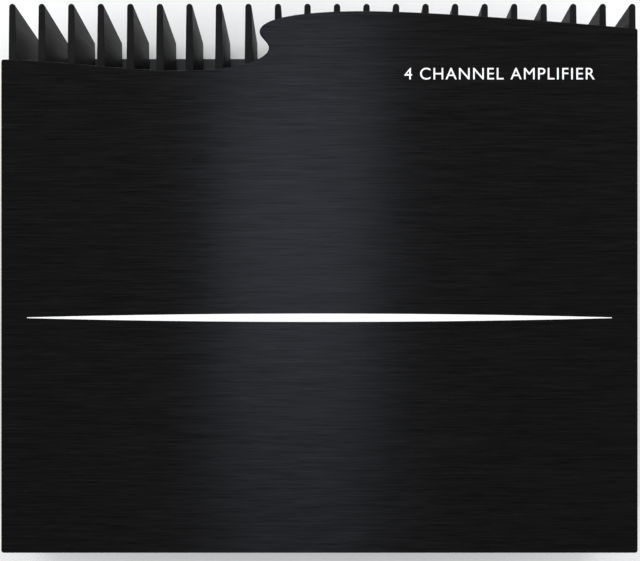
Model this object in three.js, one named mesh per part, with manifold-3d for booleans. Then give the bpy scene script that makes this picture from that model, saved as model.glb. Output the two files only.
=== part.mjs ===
// Four-channel car amplifier: two finned heatsinks joined by a deck, a base plate and two connector
// panels, under a flat cover whose rear edge is cut to an S-curve that bares part of the rear fins.
// Millimetres, +Z up, +Y to the rear. The origin is at the middle of the base.
import * as THREE from "three";
import { mergeVertices } from "three/addons/utils/BufferGeometryUtils.js";
import Module from "manifold-3d";

const wasm = await Module();
wasm.setup();

// ---------------------------------------------------------------- driving dimensions
const WIDTH = 270; // cover, side to side
const DEPTH = 233.5; // cover's front edge to the rear fin tips
const HEIGHT = 57; // feet to cover face
const GAP = 0.2; // between parts that seat on each other
const CLEAR = 0.3; // around parts that pass through a hole or turn in one

const COVER_T = 2.2;
const DECK_T = 1.5;
const FOOT_T = 2;
const PLATE_T = 1.5;
const PANEL_T = 2;
const BOARD_T = 1.6;

const FIN_COUNT = 22;
const FIN_PITCH = 12.58;
const FIN_SHIFT = 1.2; // the comb of fins sits this far off centre
const FIN_ROOT_W = 3.4;
const FIN_TIP_W = 2.7;
const FIN_FILLET = 1.2;
const TIP_DROP = 6.95; // how far the lower end of a fin's tip falls back from the upper end
const WALL_IN = 79.5; // heatsink wall, from the middle plane of the case
const WALL_OUT = 86;
const PLATE_REACH = 101.9; // base plate under the fins, from the middle plane
const PANEL_FACE = 120.5; // outer face of each connector panel

// ---------------------------------------------------------------- levels and places worked out
const plateZ = FOOT_T + GAP;
const sinkZ = plateZ + PLATE_T + GAP;
const coverZ = HEIGHT - COVER_T;
const sinkTop = coverZ - GAP;
const deckZ = coverZ - 0.5 - DECK_T;
const bossTop = deckZ - GAP;
const boardZ = 8.9;
const boardTop = boardZ + BOARD_T;
const partZ = boardTop + GAP; // components stand here
const finTip = DEPTH / 2;
const finX = (i) => (i - (FIN_COUNT - 1) / 2) * FIN_PITCH + FIN_SHIFT;
const sinkLeft = finX(0) - FIN_ROOT_W / 2; // ends of the rear heatsink
const sinkRight = finX(FIN_COUNT - 1) + FIN_ROOT_W / 2;
const panelBack = PANEL_FACE - PANEL_T;
const inside = panelBack - GAP; // what sits behind a panel starts here
const grooveY = WALL_IN + 1.5; // floor of the groove that holds a panel's edge

const END_BOSS_X = 113; // screw bosses inside each heatsink wall
const MID_BOSS_X = 38;
const BOSS_Y = 75.5;
const SCREW_HOLE_R = 1.7;
const PANEL_SCREW_Z = 29;

// ---------------------------------------------------------------- materials
const finish = (color, roughness, metalness) =>
  new THREE.MeshStandardMaterial({ color, roughness, metalness });
const MATERIALS = {
  coverBlack: finish(0x17181b, 0.38, 0.9),
  castBlack: finish(0x1b1b1b, 0.55, 0.6),
  steelBlack: finish(0x151515, 0.6, 0.3),
  zincSteel: finish(0xa9adb2, 0.35, 0.95),
  board: finish(0x12452a, 0.5, 0),
  plasticBlack: finish(0x131313, 0.5, 0),
  knobBlack: finish(0x202021, 0.45, 0),
  gold: finish(0xd9b25a, 0.25, 1),
  brass: finish(0xc9a961, 0.3, 1),
  fuseOrange: finish(0xe0661a, 0.3, 0),
  copper: finish(0xb5653a, 0.4, 0.8),
  sleeveBlue: finish(0x1c2c55, 0.35, 0),
  epoxy: finish(0x101010, 0.6, 0),
  lens: finish(0x2f9be8, 0.2, 0),
};

// ---------------------------------------------------------------- solids
// A closed geometry as a manifold-3d solid.
function toSolid(geometry) {
  const plain = geometry.index ? geometry.toNonIndexed() : geometry.clone();
  plain.deleteAttribute("normal");
  plain.deleteAttribute("uv");
  const merged = mergeVertices(plain, 1e-4);
  const vertProperties = merged.attributes.position.array;
  const triVerts = new Uint32Array(merged.index.array);
  return new wasm.Manifold(new wasm.Mesh({ numProp: 3, vertProperties, triVerts }));
}

function toGeometry(solid) {
  const mesh = solid.getMesh();
  const geometry = new THREE.BufferGeometry();
  geometry.setAttribute("position", new THREE.BufferAttribute(mesh.vertProperties, 3));
  geometry.setIndex(new THREE.BufferAttribute(mesh.triVerts, 1));
  geometry.computeVertexNormals();
  return geometry;
}

const cut = (base, tools) =>
  toGeometry(tools.reduce((left, tool) => left.subtract(toSolid(tool)), toSolid(base)));

const join = (pieces) =>
  toGeometry(pieces.slice(1).reduce((sum, piece) => sum.add(toSolid(piece)), toSolid(pieces[0])));

// A pair of limits on one side of the middle, or the same pair on the other side.
const mirrored = (sign, limits) => limits.map((limit) => sign * limit).sort((a, b) => a - b);

// A pair of limits, both moved outwards.
const grown = ([low, high], by) => [low - by, high + by];

// A box from its lowest and highest coordinates on each axis.
function block([x0, x1], [y0, y1], [z0, z1]) {
  const geometry = new THREE.BoxGeometry(x1 - x0, y1 - y0, z1 - z0);
  return geometry.translate((x0 + x1) / 2, (y0 + y1) / 2, (z0 + z1) / 2);
}

// A round bar from one point along an axis, "x" or "z".
function bar(axis, radius, length, [x, y, z], sides = 16) {
  const geometry = new THREE.CylinderGeometry(radius, radius, length, sides);
  geometry.translate(0, length / 2, 0);
  if (axis === "x") geometry.rotateZ(-Math.PI / 2);
  else geometry.rotateX(Math.PI / 2);
  return geometry.translate(x, y, z);
}

// A turned solid about +Z, from [radius, height] pairs that start and end on the axis.
function turned(profile, sides = 20) {
  const points = profile.map(([radius, height]) => new THREE.Vector2(radius, height));
  return new THREE.LatheGeometry(points, sides).rotateX(Math.PI / 2);
}

const extruded = (shape, depth, z, curveSegments = 8) =>
  new THREE.ExtrudeGeometry(shape, { depth, bevelEnabled: false, curveSegments }).translate(0, 0, z);

function circlePath(x, y, radius) {
  return new THREE.Path().absarc(x, y, radius, 0, 2 * Math.PI, true);
}

function slotPath(x, y, length, width) {
  const path = new THREE.Path();
  const reach = (length - width) / 2;
  path.absarc(x + reach, y, width / 2, -Math.PI / 2, Math.PI / 2);
  path.absarc(x - reach, y, width / 2, Math.PI / 2, 1.5 * Math.PI);
  path.closePath();
  return path;
}

function rectangle(x0, x1, y0, y1) {
  const shape = new THREE.Shape();
  shape.moveTo(x0, y0).lineTo(x1, y0).lineTo(x1, y1).lineTo(x0, y1).closePath();
  return shape;
}

const amplifier = new THREE.Group();

function add(name, geometry, material, [x, y, z] = [0, 0, 0], turn = {}) {
  const mesh = new THREE.Mesh(geometry, material);
  mesh.name = name;
  mesh.position.set(x, y, z);
  mesh.rotation.set(turn.x ?? 0, turn.y ?? 0, turn.z ?? 0);
  amplifier.add(mesh);
}

// Signs of the four corners, front left first.
const CORNERS = [
  [-1, -1],
  [1, -1],
  [1, 1],
  [-1, 1],
];

// ---------------------------------------------------------------- cover
const STUD_X = 127;
const STUD_Y = 64;
const STUD_R = 1.5;
const STUD_REACH = 7.5; // below the cover's underside

// Plan of the cover: straight front and sides, and the S-curved rear edge from left to right.
function coverOutline() {
  const side = WIDTH / 2;
  const front = -DEPTH / 2;
  const corner = 1.2;
  const leftY = 92.6; // where the rear edge meets each side
  const rightY = 105.7;
  const hollowY = 87.9;
  const peakY = 113.1;
  const hookX = -21.5; // furthest right that the hollow reaches
  const noseX = -25.4; // the tongue above the hook reaches back to here
  const shape = new THREE.Shape();
  shape.moveTo(-side, leftY - corner);
  shape.lineTo(-side, front + corner);
  shape.quadraticCurveTo(-side, front, -side + corner, front);
  shape.lineTo(side - corner, front);
  shape.quadraticCurveTo(side, front, side, front + corner);
  shape.lineTo(side, rightY - corner);
  shape.quadraticCurveTo(side, rightY, side - corner, rightY);
  shape.bezierCurveTo(103, 108.6, 45, peakY, 19, peakY); // long rise from the right
  shape.bezierCurveTo(-6, peakY, noseX, 110.5, noseX, 104.4); // nose of the tongue
  shape.bezierCurveTo(noseX, 102, hookX, 100.2, hookX, 97.6); // back into the hook
  shape.bezierCurveTo(hookX, 92.2, -36, hollowY, -59.5, hollowY); // down into the hollow
  shape.bezierCurveTo(-86, hollowY, -108, 92.4, -side + corner, leftY); // out to the left side
  shape.quadraticCurveTo(-side, leftY, -side, leftY - corner);
  return shape;
}

function addCover() {
  const stud = ([sx, sy]) =>
    bar("z", STUD_R, STUD_REACH + 0.5, [sx * STUD_X, sy * STUD_Y, coverZ - STUD_REACH], 12);
  const plate = extruded(coverOutline(), COVER_T, coverZ, 12);
  add("top_cover", join([plate, ...CORNERS.map(stud)]), MATERIALS.coverBlack);
}

// ---------------------------------------------------------------- heatsinks
// Plan of the rear heatsink: a wall with a groove and screw bosses inside, and fins outside.
function heatsinkOutline() {
  const shape = new THREE.Shape();
  const rootHalf = FIN_ROOT_W / 2;
  const tipHalf = FIN_TIP_W / 2;
  const grooveOut = PANEL_FACE + GAP;
  const grooveIn = panelBack - GAP;
  const bossFoot = BOSS_Y - 4;
  const bossEnd = END_BOSS_X - 5;
  const midBossR = 4.5;
  const padWidth = 1.4; // the second fin from each end is thickened near its root
  const padReach = 95;

  shape.moveTo(sinkLeft, WALL_IN);
  shape.lineTo(-grooveOut, WALL_IN);
  shape.lineTo(-grooveOut, grooveY);
  shape.lineTo(-grooveIn, grooveY);
  shape.lineTo(-grooveIn, bossFoot);
  shape.lineTo(-bossEnd, bossFoot);
  shape.lineTo(-bossEnd, WALL_IN);
  for (const x of [-MID_BOSS_X, MID_BOSS_X]) {
    shape.lineTo(x - midBossR, WALL_IN);
    shape.absarc(x, BOSS_Y, midBossR, Math.PI, 2 * Math.PI);
    shape.lineTo(x + midBossR, WALL_IN);
  }
  shape.lineTo(bossEnd, WALL_IN);
  shape.lineTo(bossEnd, bossFoot);
  shape.lineTo(grooveIn, bossFoot);
  shape.lineTo(grooveIn, grooveY);
  shape.lineTo(grooveOut, grooveY);
  shape.lineTo(grooveOut, WALL_IN);
  shape.lineTo(sinkRight, WALL_IN);

  for (let i = FIN_COUNT - 1; i >= 0; i -= 1) {
    const x = finX(i);
    const padRight = i === FIN_COUNT - 2 ? padWidth : 0;
    const padLeft = i === 1 ? padWidth : 0;
    const rightRoot = x + rootHalf + padRight;
    const leftRoot = x - rootHalf - padLeft;
    if (i < FIN_COUNT - 1) {
      shape.lineTo(rightRoot + FIN_FILLET, WALL_OUT);
      shape.quadraticCurveTo(rightRoot, WALL_OUT, rightRoot, WALL_OUT + FIN_FILLET);
    }
    if (padRight) {
      shape.lineTo(rightRoot, padReach);
      shape.lineTo(x + rootHalf - 0.2, padReach);
    }
    shape.absarc(x, finTip - tipHalf, tipHalf, 0, Math.PI);
    if (padLeft) {
      shape.lineTo(x - rootHalf + 0.2, padReach);
      shape.lineTo(leftRoot, padReach);
    }
    if (i > 0) {
      shape.lineTo(leftRoot, WALL_OUT + FIN_FILLET);
      shape.quadraticCurveTo(leftRoot, WALL_OUT, leftRoot - FIN_FILLET, WALL_OUT);
    }
  }
  shape.closePath();
  for (const x of [-END_BOSS_X, -MID_BOSS_X, MID_BOSS_X, END_BOSS_X])
    shape.holes.push(circlePath(x, BOSS_Y, SCREW_HOLE_R));
  return shape;
}

// The extruded plan, with the fin tips drawn back towards the lower end.
function heatsink() {
  const geometry = extruded(heatsinkOutline(), sinkTop - sinkZ, sinkZ, 4);
  const position = geometry.attributes.position;
  const share = (finTip - TIP_DROP - WALL_OUT) / (finTip - WALL_OUT);
  for (let i = 0; i < position.count; i += 1) {
    const beyond = position.getY(i) - WALL_OUT;
    if (beyond > 0 && position.getZ(i) < sinkZ + 1) position.setY(i, WALL_OUT + beyond * share);
  }
  const overBosses = block([-inside, inside], [BOSS_Y - 6, WALL_IN], [bossTop, sinkTop + 1]);
  const pilots = [-1, 1].map((side) => holeIn(side, SCREW_HOLE_R, BOSS_Y, PANEL_SCREW_Z, 12));
  return cut(geometry, [overBosses, ...pilots]);
}

function addHeatsinks() {
  const geometry = heatsink();
  add("rear_heatsink", geometry, MATERIALS.castBlack);
  add("front_heatsink", geometry, MATERIALS.castBlack, [0, 0, 0], { z: Math.PI });
}

// ---------------------------------------------------------------- sheet metal
const EAR_X = 132; // the deck's ears reach out under the cover's overhang
const EAR_HALF = 5;
const FOOT_X = [98, 134];
const FOOT_Y = [61, 84];
const FOOT_SLOT = [126.5, 72, 10, 6]; // x, y, length, width

function deckOutline() {
  const reach = WALL_IN - CLEAR;
  const end = PANEL_FACE - GAP;
  const shape = new THREE.Shape();
  shape.moveTo(-end, -reach);
  shape.lineTo(end, -reach);
  for (const y of [-STUD_Y, STUD_Y]) {
    shape.lineTo(end, y - EAR_HALF);
    shape.lineTo(EAR_X, y - EAR_HALF);
    shape.lineTo(EAR_X, y + EAR_HALF);
    shape.lineTo(end, y + EAR_HALF);
  }
  shape.lineTo(end, reach);
  shape.lineTo(-end, reach);
  for (const y of [STUD_Y, -STUD_Y]) {
    shape.lineTo(-end, y + EAR_HALF);
    shape.lineTo(-EAR_X, y + EAR_HALF);
    shape.lineTo(-EAR_X, y - EAR_HALF);
    shape.lineTo(-end, y - EAR_HALF);
  }
  shape.closePath();
  for (const [sx, sy] of CORNERS) {
    shape.holes.push(circlePath(sx * STUD_X, sy * STUD_Y, STUD_R + CLEAR));
    shape.holes.push(circlePath(sx * END_BOSS_X, sy * BOSS_Y, SCREW_HOLE_R));
    shape.holes.push(circlePath(sx * MID_BOSS_X, sy * BOSS_Y, SCREW_HOLE_R));
  }
  return shape;
}

// The base plate carries pressed-in standoffs for the main board.
const STANDOFF = [100, 60];

function basePlate() {
  const end = PANEL_FACE + 0.5;
  const shape = rectangle(-end, end, -PLATE_REACH, PLATE_REACH);
  for (const [sx, sy] of CORNERS) {
    shape.holes.push(circlePath(sx * END_BOSS_X, sy * BOSS_Y, SCREW_HOLE_R + 0.3));
    shape.holes.push(circlePath(sx * MID_BOSS_X, sy * BOSS_Y, SCREW_HOLE_R + 0.3));
  }
  const standoffHeight = boardZ - GAP - plateZ - 0.5;
  const standoff = ([sx, sy]) =>
    bar("z", 3.2, standoffHeight, [sx * STANDOFF[0], sy * STANDOFF[1], plateZ + 0.5], 12);
  return join([extruded(shape, PLATE_T, plateZ, 4), ...CORNERS.map(standoff)]);
}

function addSheetMetal() {
  add("inner_deck", extruded(deckOutline(), DECK_T, deckZ, 4), MATERIALS.zincSteel);
  add("base_plate", basePlate(), MATERIALS.steelBlack);
  CORNERS.forEach(([sx, sy], i) => {
    const shape = rectangle(...mirrored(sx, FOOT_X), ...mirrored(sy, FOOT_Y));
    const [x, y, length, width] = FOOT_SLOT;
    shape.holes.push(slotPath(sx * x, sy * y, length, width));
    shape.holes.push(circlePath(sx * END_BOSS_X, sy * BOSS_Y, 3.2));
    add(`mounting_foot_${i + 1}`, extruded(shape, FOOT_T, 0, 5), MATERIALS.steelBlack);
  });
}

// ---------------------------------------------------------------- connector panels
// A panel before its cut-outs, on the side given by sign.
function panelBlank(sign) {
  const xs = mirrored(sign, [panelBack, PANEL_FACE]);
  const reach = grooveY - GAP;
  return block(xs, [-reach, reach], [sinkZ, bossTop]);
}

// A cut through both faces of a panel.
function windowIn(sign, ys, zs) {
  return block(mirrored(sign, grown([panelBack, PANEL_FACE], 2)), ys, zs);
}

// A round hole through a panel and a little into what stands behind it.
const holeIn = (sign, radius, y, z, sides = 16) =>
  bar("x", radius, 10, [sign * PANEL_FACE - 5, y, z], sides);

// Button-head screws that hold the panels' ends to the heatsink bosses.
function addPanelScrews() {
  const shank = { radius: 1.4, length: 5.2 };
  const head = { radius: 2.9, edge: 1.1, top: 2, topRadius: 1.9 };
  const profile = [
    [0, -shank.length],
    [shank.radius, -shank.length],
    [shank.radius, 0],
    [head.radius, 0],
    [head.radius, head.edge],
    [head.topRadius, head.top],
    [0, head.top],
  ];
  const socket = bar("z", 1, 2, [0, 0, 0.9], 6);
  const screw = cut(turned(profile, 16), [socket]);
  [
    [-1, 1],
    [-1, -1],
    [1, -1],
    [1, 1],
  ].forEach(([side, sy], i) => {
    const place = [side * (PANEL_FACE + GAP), sy * BOSS_Y, PANEL_SCREW_Z];
    add(`panel_screw_${i + 1}`, screw, MATERIALS.steelBlack, place, { y: (side * Math.PI) / 2 });
  });
}

const panelScrewHoles = (sign) =>
  [-1, 1].map((sy) => holeIn(sign, SCREW_HOLE_R, sy * BOSS_Y, PANEL_SCREW_Z, 12));

// ---------------------------------------------------------------- signal end (left, -X)
const JACK_YS = [53, 37];
const JACK_ZS = [40, 19];
const JACK_HOUSING_Y = [29, 61];
const JACK_HOUSING_Z = [partZ, 49];
const JACK_OUT = 130.5; // end of the jack sleeves
const SLEEVE_R = 4.15;
const POST_R = 3;
const REMOTE_Y = [11, 24];
const REMOTE_Z = [partZ, partZ + 12];
const KNOB_YS = [2, -16, -34, -52];
const KNOB_Z = 39;
const SWITCH_YS = [-4, -25, -46];
const SWITCH_Z = 17;
const SWITCH_SLOT = [8, 3.6];
const LIGHT_YS = [14, 21];
const LIGHT_Z = 42;

function addSignalPanel() {
  const cuts = [
    ...JACK_YS.flatMap((y) => JACK_ZS.map((z) => holeIn(-1, SLEEVE_R + CLEAR, y, z))),
    windowIn(-1, grown(REMOTE_Y, CLEAR), grown(REMOTE_Z, CLEAR)),
    ...KNOB_YS.map((y) => holeIn(-1, 3 + CLEAR, y, KNOB_Z)),
    ...SWITCH_YS.map((y) =>
      windowIn(
        -1,
        grown([y, y], SWITCH_SLOT[0] / 2),
        grown([SWITCH_Z, SWITCH_Z], SWITCH_SLOT[1] / 2),
      ),
    ),
    ...LIGHT_YS.map((y) => holeIn(-1, 1.5 + CLEAR, y, LIGHT_Z, 12)),
    ...panelScrewHoles(-1),
  ];
  add("signal_panel", cut(panelBlank(-1), cuts), MATERIALS.steelBlack);
}

// Moulded block with an insulating post for each jack; a metal sleeve slides over each post.
function addInputJacks() {
  const back = -106;
  const sleeveSeat = 3; // how far a sleeve sinks into the block
  const postEnd = -JACK_OUT + 0.8;
  const places = JACK_YS.flatMap((y) => JACK_ZS.map((z) => [y, z]));
  const seats = places.map(([y, z]) =>
    bar("x", SLEEVE_R + CLEAR, sleeveSeat + 2, [-inside - 1, y, z]),
  );
  const posts = places.map(([y, z]) => bar("x", POST_R, -inside + 6 - postEnd, [postEnd, y, z], 12));
  const pinHoles = places.map(([y, z]) => bar("x", 1.6, 10, [-JACK_OUT, y, z], 8));
  const body = cut(block([-inside, back], JACK_HOUSING_Y, JACK_HOUSING_Z), seats);
  add("input_jack_housing", cut(join([body, ...posts]), pinHoles), MATERIALS.plasticBlack);

  // Local +Z points out of the panel; z = 0 is the sleeve's inner end.
  const length = JACK_OUT - inside + sleeveSeat;
  const tube = bar("z", SLEEVE_R, length, [0, 0, 0]);
  const flange = bar("z", 6, 1.4, [0, 0, PANEL_FACE + GAP - JACK_OUT + length]);
  const bore = bar("z", POST_R + 0.4, length + 2, [0, 0, -1], 12);
  const sleeve = cut(join([tube, flange]), [bore]);
  places.forEach(([y, z], i) => {
    const place = [length - JACK_OUT, y, z];
    add(`input_jack_${i + 1}`, sleeve, MATERIALS.gold, place, { y: -Math.PI / 2 });
  });
}

function addRemoteJack() {
  const middle = (REMOTE_Y[0] + REMOTE_Y[1]) / 2;
  const face = -PANEL_FACE - 0.6;
  const body = block([face, -106], REMOTE_Y, REMOTE_Z);
  const depth = [face - 1, face + 10];
  const socket = block(depth, grown([middle, middle], 5), [partZ + 1.6, partZ + 8.6]);
  const latch = block(depth, grown([middle, middle], 1.9), [partZ + 8, partZ + 10.6]);
  add("remote_jack", cut(body, [socket, latch]), MATERIALS.plasticBlack);
}

const POT_DEPTH = 6;
const SHAFT_R = 3;

function addKnobs() {
  // Local +Z points out of the panel; z = 0 is the panel's outer face.
  const profile = [
    [0, -PANEL_T - 3.2],
    [SHAFT_R, -PANEL_T - 3.2],
    [SHAFT_R, 0.5],
    [5.6, 0.5],
    [5.6, 1.8],
    [4.7, 2.4],
    [4.4, 8],
    [3.8, 8.6],
    [0, 8.6],
  ];
  const pointer = block([0.6, 6], [-0.5, 0.5], [7.9, 9]);
  const knob = cut(turned(profile, 18), [pointer]);
  const body = block([-5.5, 5.5], [-5, 5], [-PANEL_T - GAP - POT_DEPTH, -PANEL_T - GAP]);
  const bore = bar("z", SHAFT_R + CLEAR, 3.6, [0, 0, -PANEL_T - GAP - 3.5], 18);
  const pot = cut(body, [bore]);
  KNOB_YS.forEach((y, i) => {
    const place = [-PANEL_FACE, y, KNOB_Z];
    add(`control_knob_${i + 1}`, knob, MATERIALS.knobBlack, place, { y: -Math.PI / 2 });
    add(`control_pot_${i + 1}`, pot, MATERIALS.epoxy, place, { y: -Math.PI / 2 });
  });
}

const SLIDER_BASE = [1.8, 1.6]; // half width along the slot, half height

function addSwitches() {
  const behind = [-inside, -inside + 6];
  const pocketDepth = 3;
  const travel = 2.4;
  const pockets = SWITCH_YS.map((y) =>
    block(
      [-inside - 1, -inside + pocketDepth],
      grown([y, y], SLIDER_BASE[0] + travel + CLEAR),
      grown([SWITCH_Z, SWITCH_Z], SLIDER_BASE[1] + CLEAR),
    ),
  );
  const ends = [Math.min(...SWITCH_YS) - 8, Math.max(...SWITCH_YS) + 8];
  const housing = block(behind, ends, grown([SWITCH_Z, SWITCH_Z], 5));
  add("switch_housing", cut(housing, pockets), MATERIALS.zincSteel);

  // Local origin on the panel's outer face.
  const stem = block([-3.6, PANEL_T + 1], [-1.3, 1.3], [-1.3, 1.3]);
  const base = block(
    [PANEL_T + GAP, PANEL_T + GAP + pocketDepth - CLEAR],
    [-SLIDER_BASE[0], SLIDER_BASE[0]],
    [-SLIDER_BASE[1], SLIDER_BASE[1]],
  );
  const slider = join([stem, base]);
  SWITCH_YS.forEach((y, i) =>
    add(`switch_lever_${i + 1}`, slider, MATERIALS.plasticBlack, [-PANEL_FACE, y, SWITCH_Z]),
  );
}

function addLights() {
  const profile = [
    [0, -8],
    [1.5, -8],
    [1.5, 0.8],
    [1.1, 1.6],
    [0, 2],
  ];
  const lens = turned(profile, 12);
  LIGHT_YS.forEach((y, i) => {
    const place = [-PANEL_FACE, y, LIGHT_Z];
    add(`status_light_${i + 1}`, lens, MATERIALS.lens, place, { y: -Math.PI / 2 });
  });
}

// ---------------------------------------------------------------- power end (right, +X)
const POWER_YS = [-52, -36, -20];
const POWER_Y = [-60, -12];
const POWER_Z = [partZ, 37];
const POWER_OUT = 131.5;
const WIRE_Z = 19.5;
const WIRE_R = 4.2;
const CLAMP_SCREW_R = 3.5;
const CLAMP_X = 124;
const FUSE_YS = [-2.5, 10.5];
const FUSE_Y = [-9, 17];
const FUSE_Z = [13, 45];
const FUSE_MID_Z = 29;
const HOLDER_OUT = 123;
const SPEAKER_YS = [25, 35, 45, 55];
const SPEAKER_ZS = [14.5, 34];
const SPEAKER_Y = [20, 60];
const SPEAKER_Z = [partZ, 48];
const SPEAKER_OUT = 130;
const BLOCK_BACK = 106;

function addPowerPanel() {
  const cuts = [
    windowIn(1, grown(POWER_Y, CLEAR), grown(POWER_Z, CLEAR)),
    windowIn(1, grown(FUSE_Y, CLEAR), grown(FUSE_Z, CLEAR)),
    windowIn(1, grown(SPEAKER_Y, CLEAR), grown(SPEAKER_Z, CLEAR)),
    ...panelScrewHoles(1),
  ];
  add("power_panel", cut(panelBlank(1), cuts), MATERIALS.steelBlack);
}

// Housing with a pocket for each brass clamp, open at the face and at the top.
function addPowerTerminals() {
  const halfWidth = 6;
  const clampX = [109, POWER_OUT - 1.5];
  const clampZ = [WIRE_Z - 6.5, WIRE_Z + 11];
  const pockets = POWER_YS.flatMap((y) => [
    block([clampX[0] - CLEAR, POWER_OUT + 1], grown([y, y], halfWidth + CLEAR), grown(clampZ, CLEAR)),
    bar("z", CLAMP_SCREW_R + 1, 12, [CLAMP_X, y, clampZ[1] - 1]),
  ]);
  const housing = cut(block([BLOCK_BACK, POWER_OUT], POWER_Y, POWER_Z), pockets);
  add("power_terminal_block", housing, MATERIALS.plasticBlack);

  const clamp = cut(block(clampX, [-halfWidth, halfWidth], clampZ), [
    bar("x", WIRE_R, 19, [clampX[1] - 18, 0, WIRE_Z]),
    bar("z", CLAMP_SCREW_R + CLEAR, 12, [CLAMP_X, 0, WIRE_Z + 1]),
  ]);
  const screwBottom = WIRE_Z + WIRE_R + 0.6;
  const screwLength = POWER_Z[1] - screwBottom - 1.2;
  const screw = cut(bar("z", CLAMP_SCREW_R, screwLength, [0, 0, 0]), [
    bar("z", 2, 5, [0, 0, screwLength - 4], 6),
  ]);
  POWER_YS.forEach((y, i) => {
    add(`wire_clamp_${i + 1}`, clamp, MATERIALS.brass, [0, y, 0]);
    add(`clamp_screw_${i + 1}`, screw, MATERIALS.zincSteel, [CLAMP_X, y, screwBottom]);
  });
}

// Blade fuses stand on edge, side by side, and pull straight out.
function addFuses() {
  const half = [2.6, 9.6]; // half thickness, half width
  const bodyIn = HOLDER_OUT - 3;
  const bodyOut = HOLDER_OUT + 9;
  const bladeIn = bodyIn - 7.5;
  const bladeHalf = [0.4, 2.6];
  const bladeZs = [-6.6, 6.6];
  const seats = FUSE_YS.flatMap((y) => [
    block(
      [bodyIn - CLEAR, HOLDER_OUT + 1],
      grown([y, y], half[0] + CLEAR),
      grown([FUSE_MID_Z, FUSE_MID_Z], half[1] + CLEAR),
    ),
    ...bladeZs.map((dz) =>
      block(
        [bladeIn - CLEAR, bodyIn + 1],
        grown([y, y], bladeHalf[0] + CLEAR),
        grown([FUSE_MID_Z + dz, FUSE_MID_Z + dz], bladeHalf[1] + CLEAR),
      ),
    ),
  ]);
  const holder = cut(block([BLOCK_BACK, HOLDER_OUT], FUSE_Y, FUSE_Z), seats);
  add("fuse_holder", holder, MATERIALS.plasticBlack);

  const body = block([bodyIn, bodyOut], [-half[0], half[0]], [-half[1], half[1]]);
  const grips = [-1, 1].map((side) =>
    block([bodyOut - 3, bodyOut + 1], grown([side * half[0], side * half[0]], 0.7), [-4.5, 4.5]),
  );
  const blades = bladeZs.map((dz) =>
    block([bladeIn, bodyIn + 1], [-bladeHalf[0], bladeHalf[0]], grown([dz, dz], bladeHalf[1])),
  );
  const fuse = join([cut(body, grips), ...blades]);
  FUSE_YS.forEach((y, i) =>
    add(`blade_fuse_${i + 1}`, fuse, MATERIALS.fuseOrange, [0, y, FUSE_MID_Z]),
  );
}

// Two rows of four wire entries, with a groove between the rows.
function addSpeakerTerminals() {
  const wireHoles = SPEAKER_YS.flatMap((y) =>
    SPEAKER_ZS.map((z) => bar("x", 1.95, 13, [SPEAKER_OUT - 12, y, z], 10)),
  );
  const groove = block([SPEAKER_OUT - 2.5, SPEAKER_OUT + 1], grown(SPEAKER_Y, 1), [26.5, 29]);
  const body = cut(block([BLOCK_BACK, SPEAKER_OUT], SPEAKER_Y, SPEAKER_Z), [...wireHoles, groove]);
  add("speaker_terminal_block", body, MATERIALS.plasticBlack);
}

// ---------------------------------------------------------------- electronics
const BOARD_REACH = 70; // half the main board's depth
const DEVICE_XS = [56, 84];
const DEVICE_Z = [20, 41];
const CLAMP_T = 1.6;

function addBoards() {
  const board = rectangle(-inside + 0.5, inside - 0.5, -BOARD_REACH, BOARD_REACH);
  for (const [sx, sy] of CORNERS)
    board.holes.push(circlePath(sx * STANDOFF[0], sy * STANDOFF[1], 1.6));
  add("main_board", extruded(board, BOARD_T, boardZ, 4), MATERIALS.board);
  const front = -(inside - POT_DEPTH - GAP);
  add("control_board", block([front, front + BOARD_T], [-66, 8], [partZ, 48]), MATERIALS.board);
}

// A toroid lying flat, from its outer and inner radius and its height.
function toroid(outer, inner, height) {
  const round = 3;
  const shape = new THREE.Shape();
  shape.moveTo(inner, round);
  shape.quadraticCurveTo(inner, 0, inner + round, 0);
  shape.lineTo(outer - round, 0);
  shape.quadraticCurveTo(outer, 0, outer, round);
  shape.lineTo(outer, height - round);
  shape.quadraticCurveTo(outer, height, outer - round, height);
  shape.lineTo(inner + round, height);
  shape.quadraticCurveTo(inner, height, inner, height - round);
  shape.closePath();
  return new THREE.LatheGeometry(shape.getPoints(1), 20).rotateX(Math.PI / 2);
}

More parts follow.
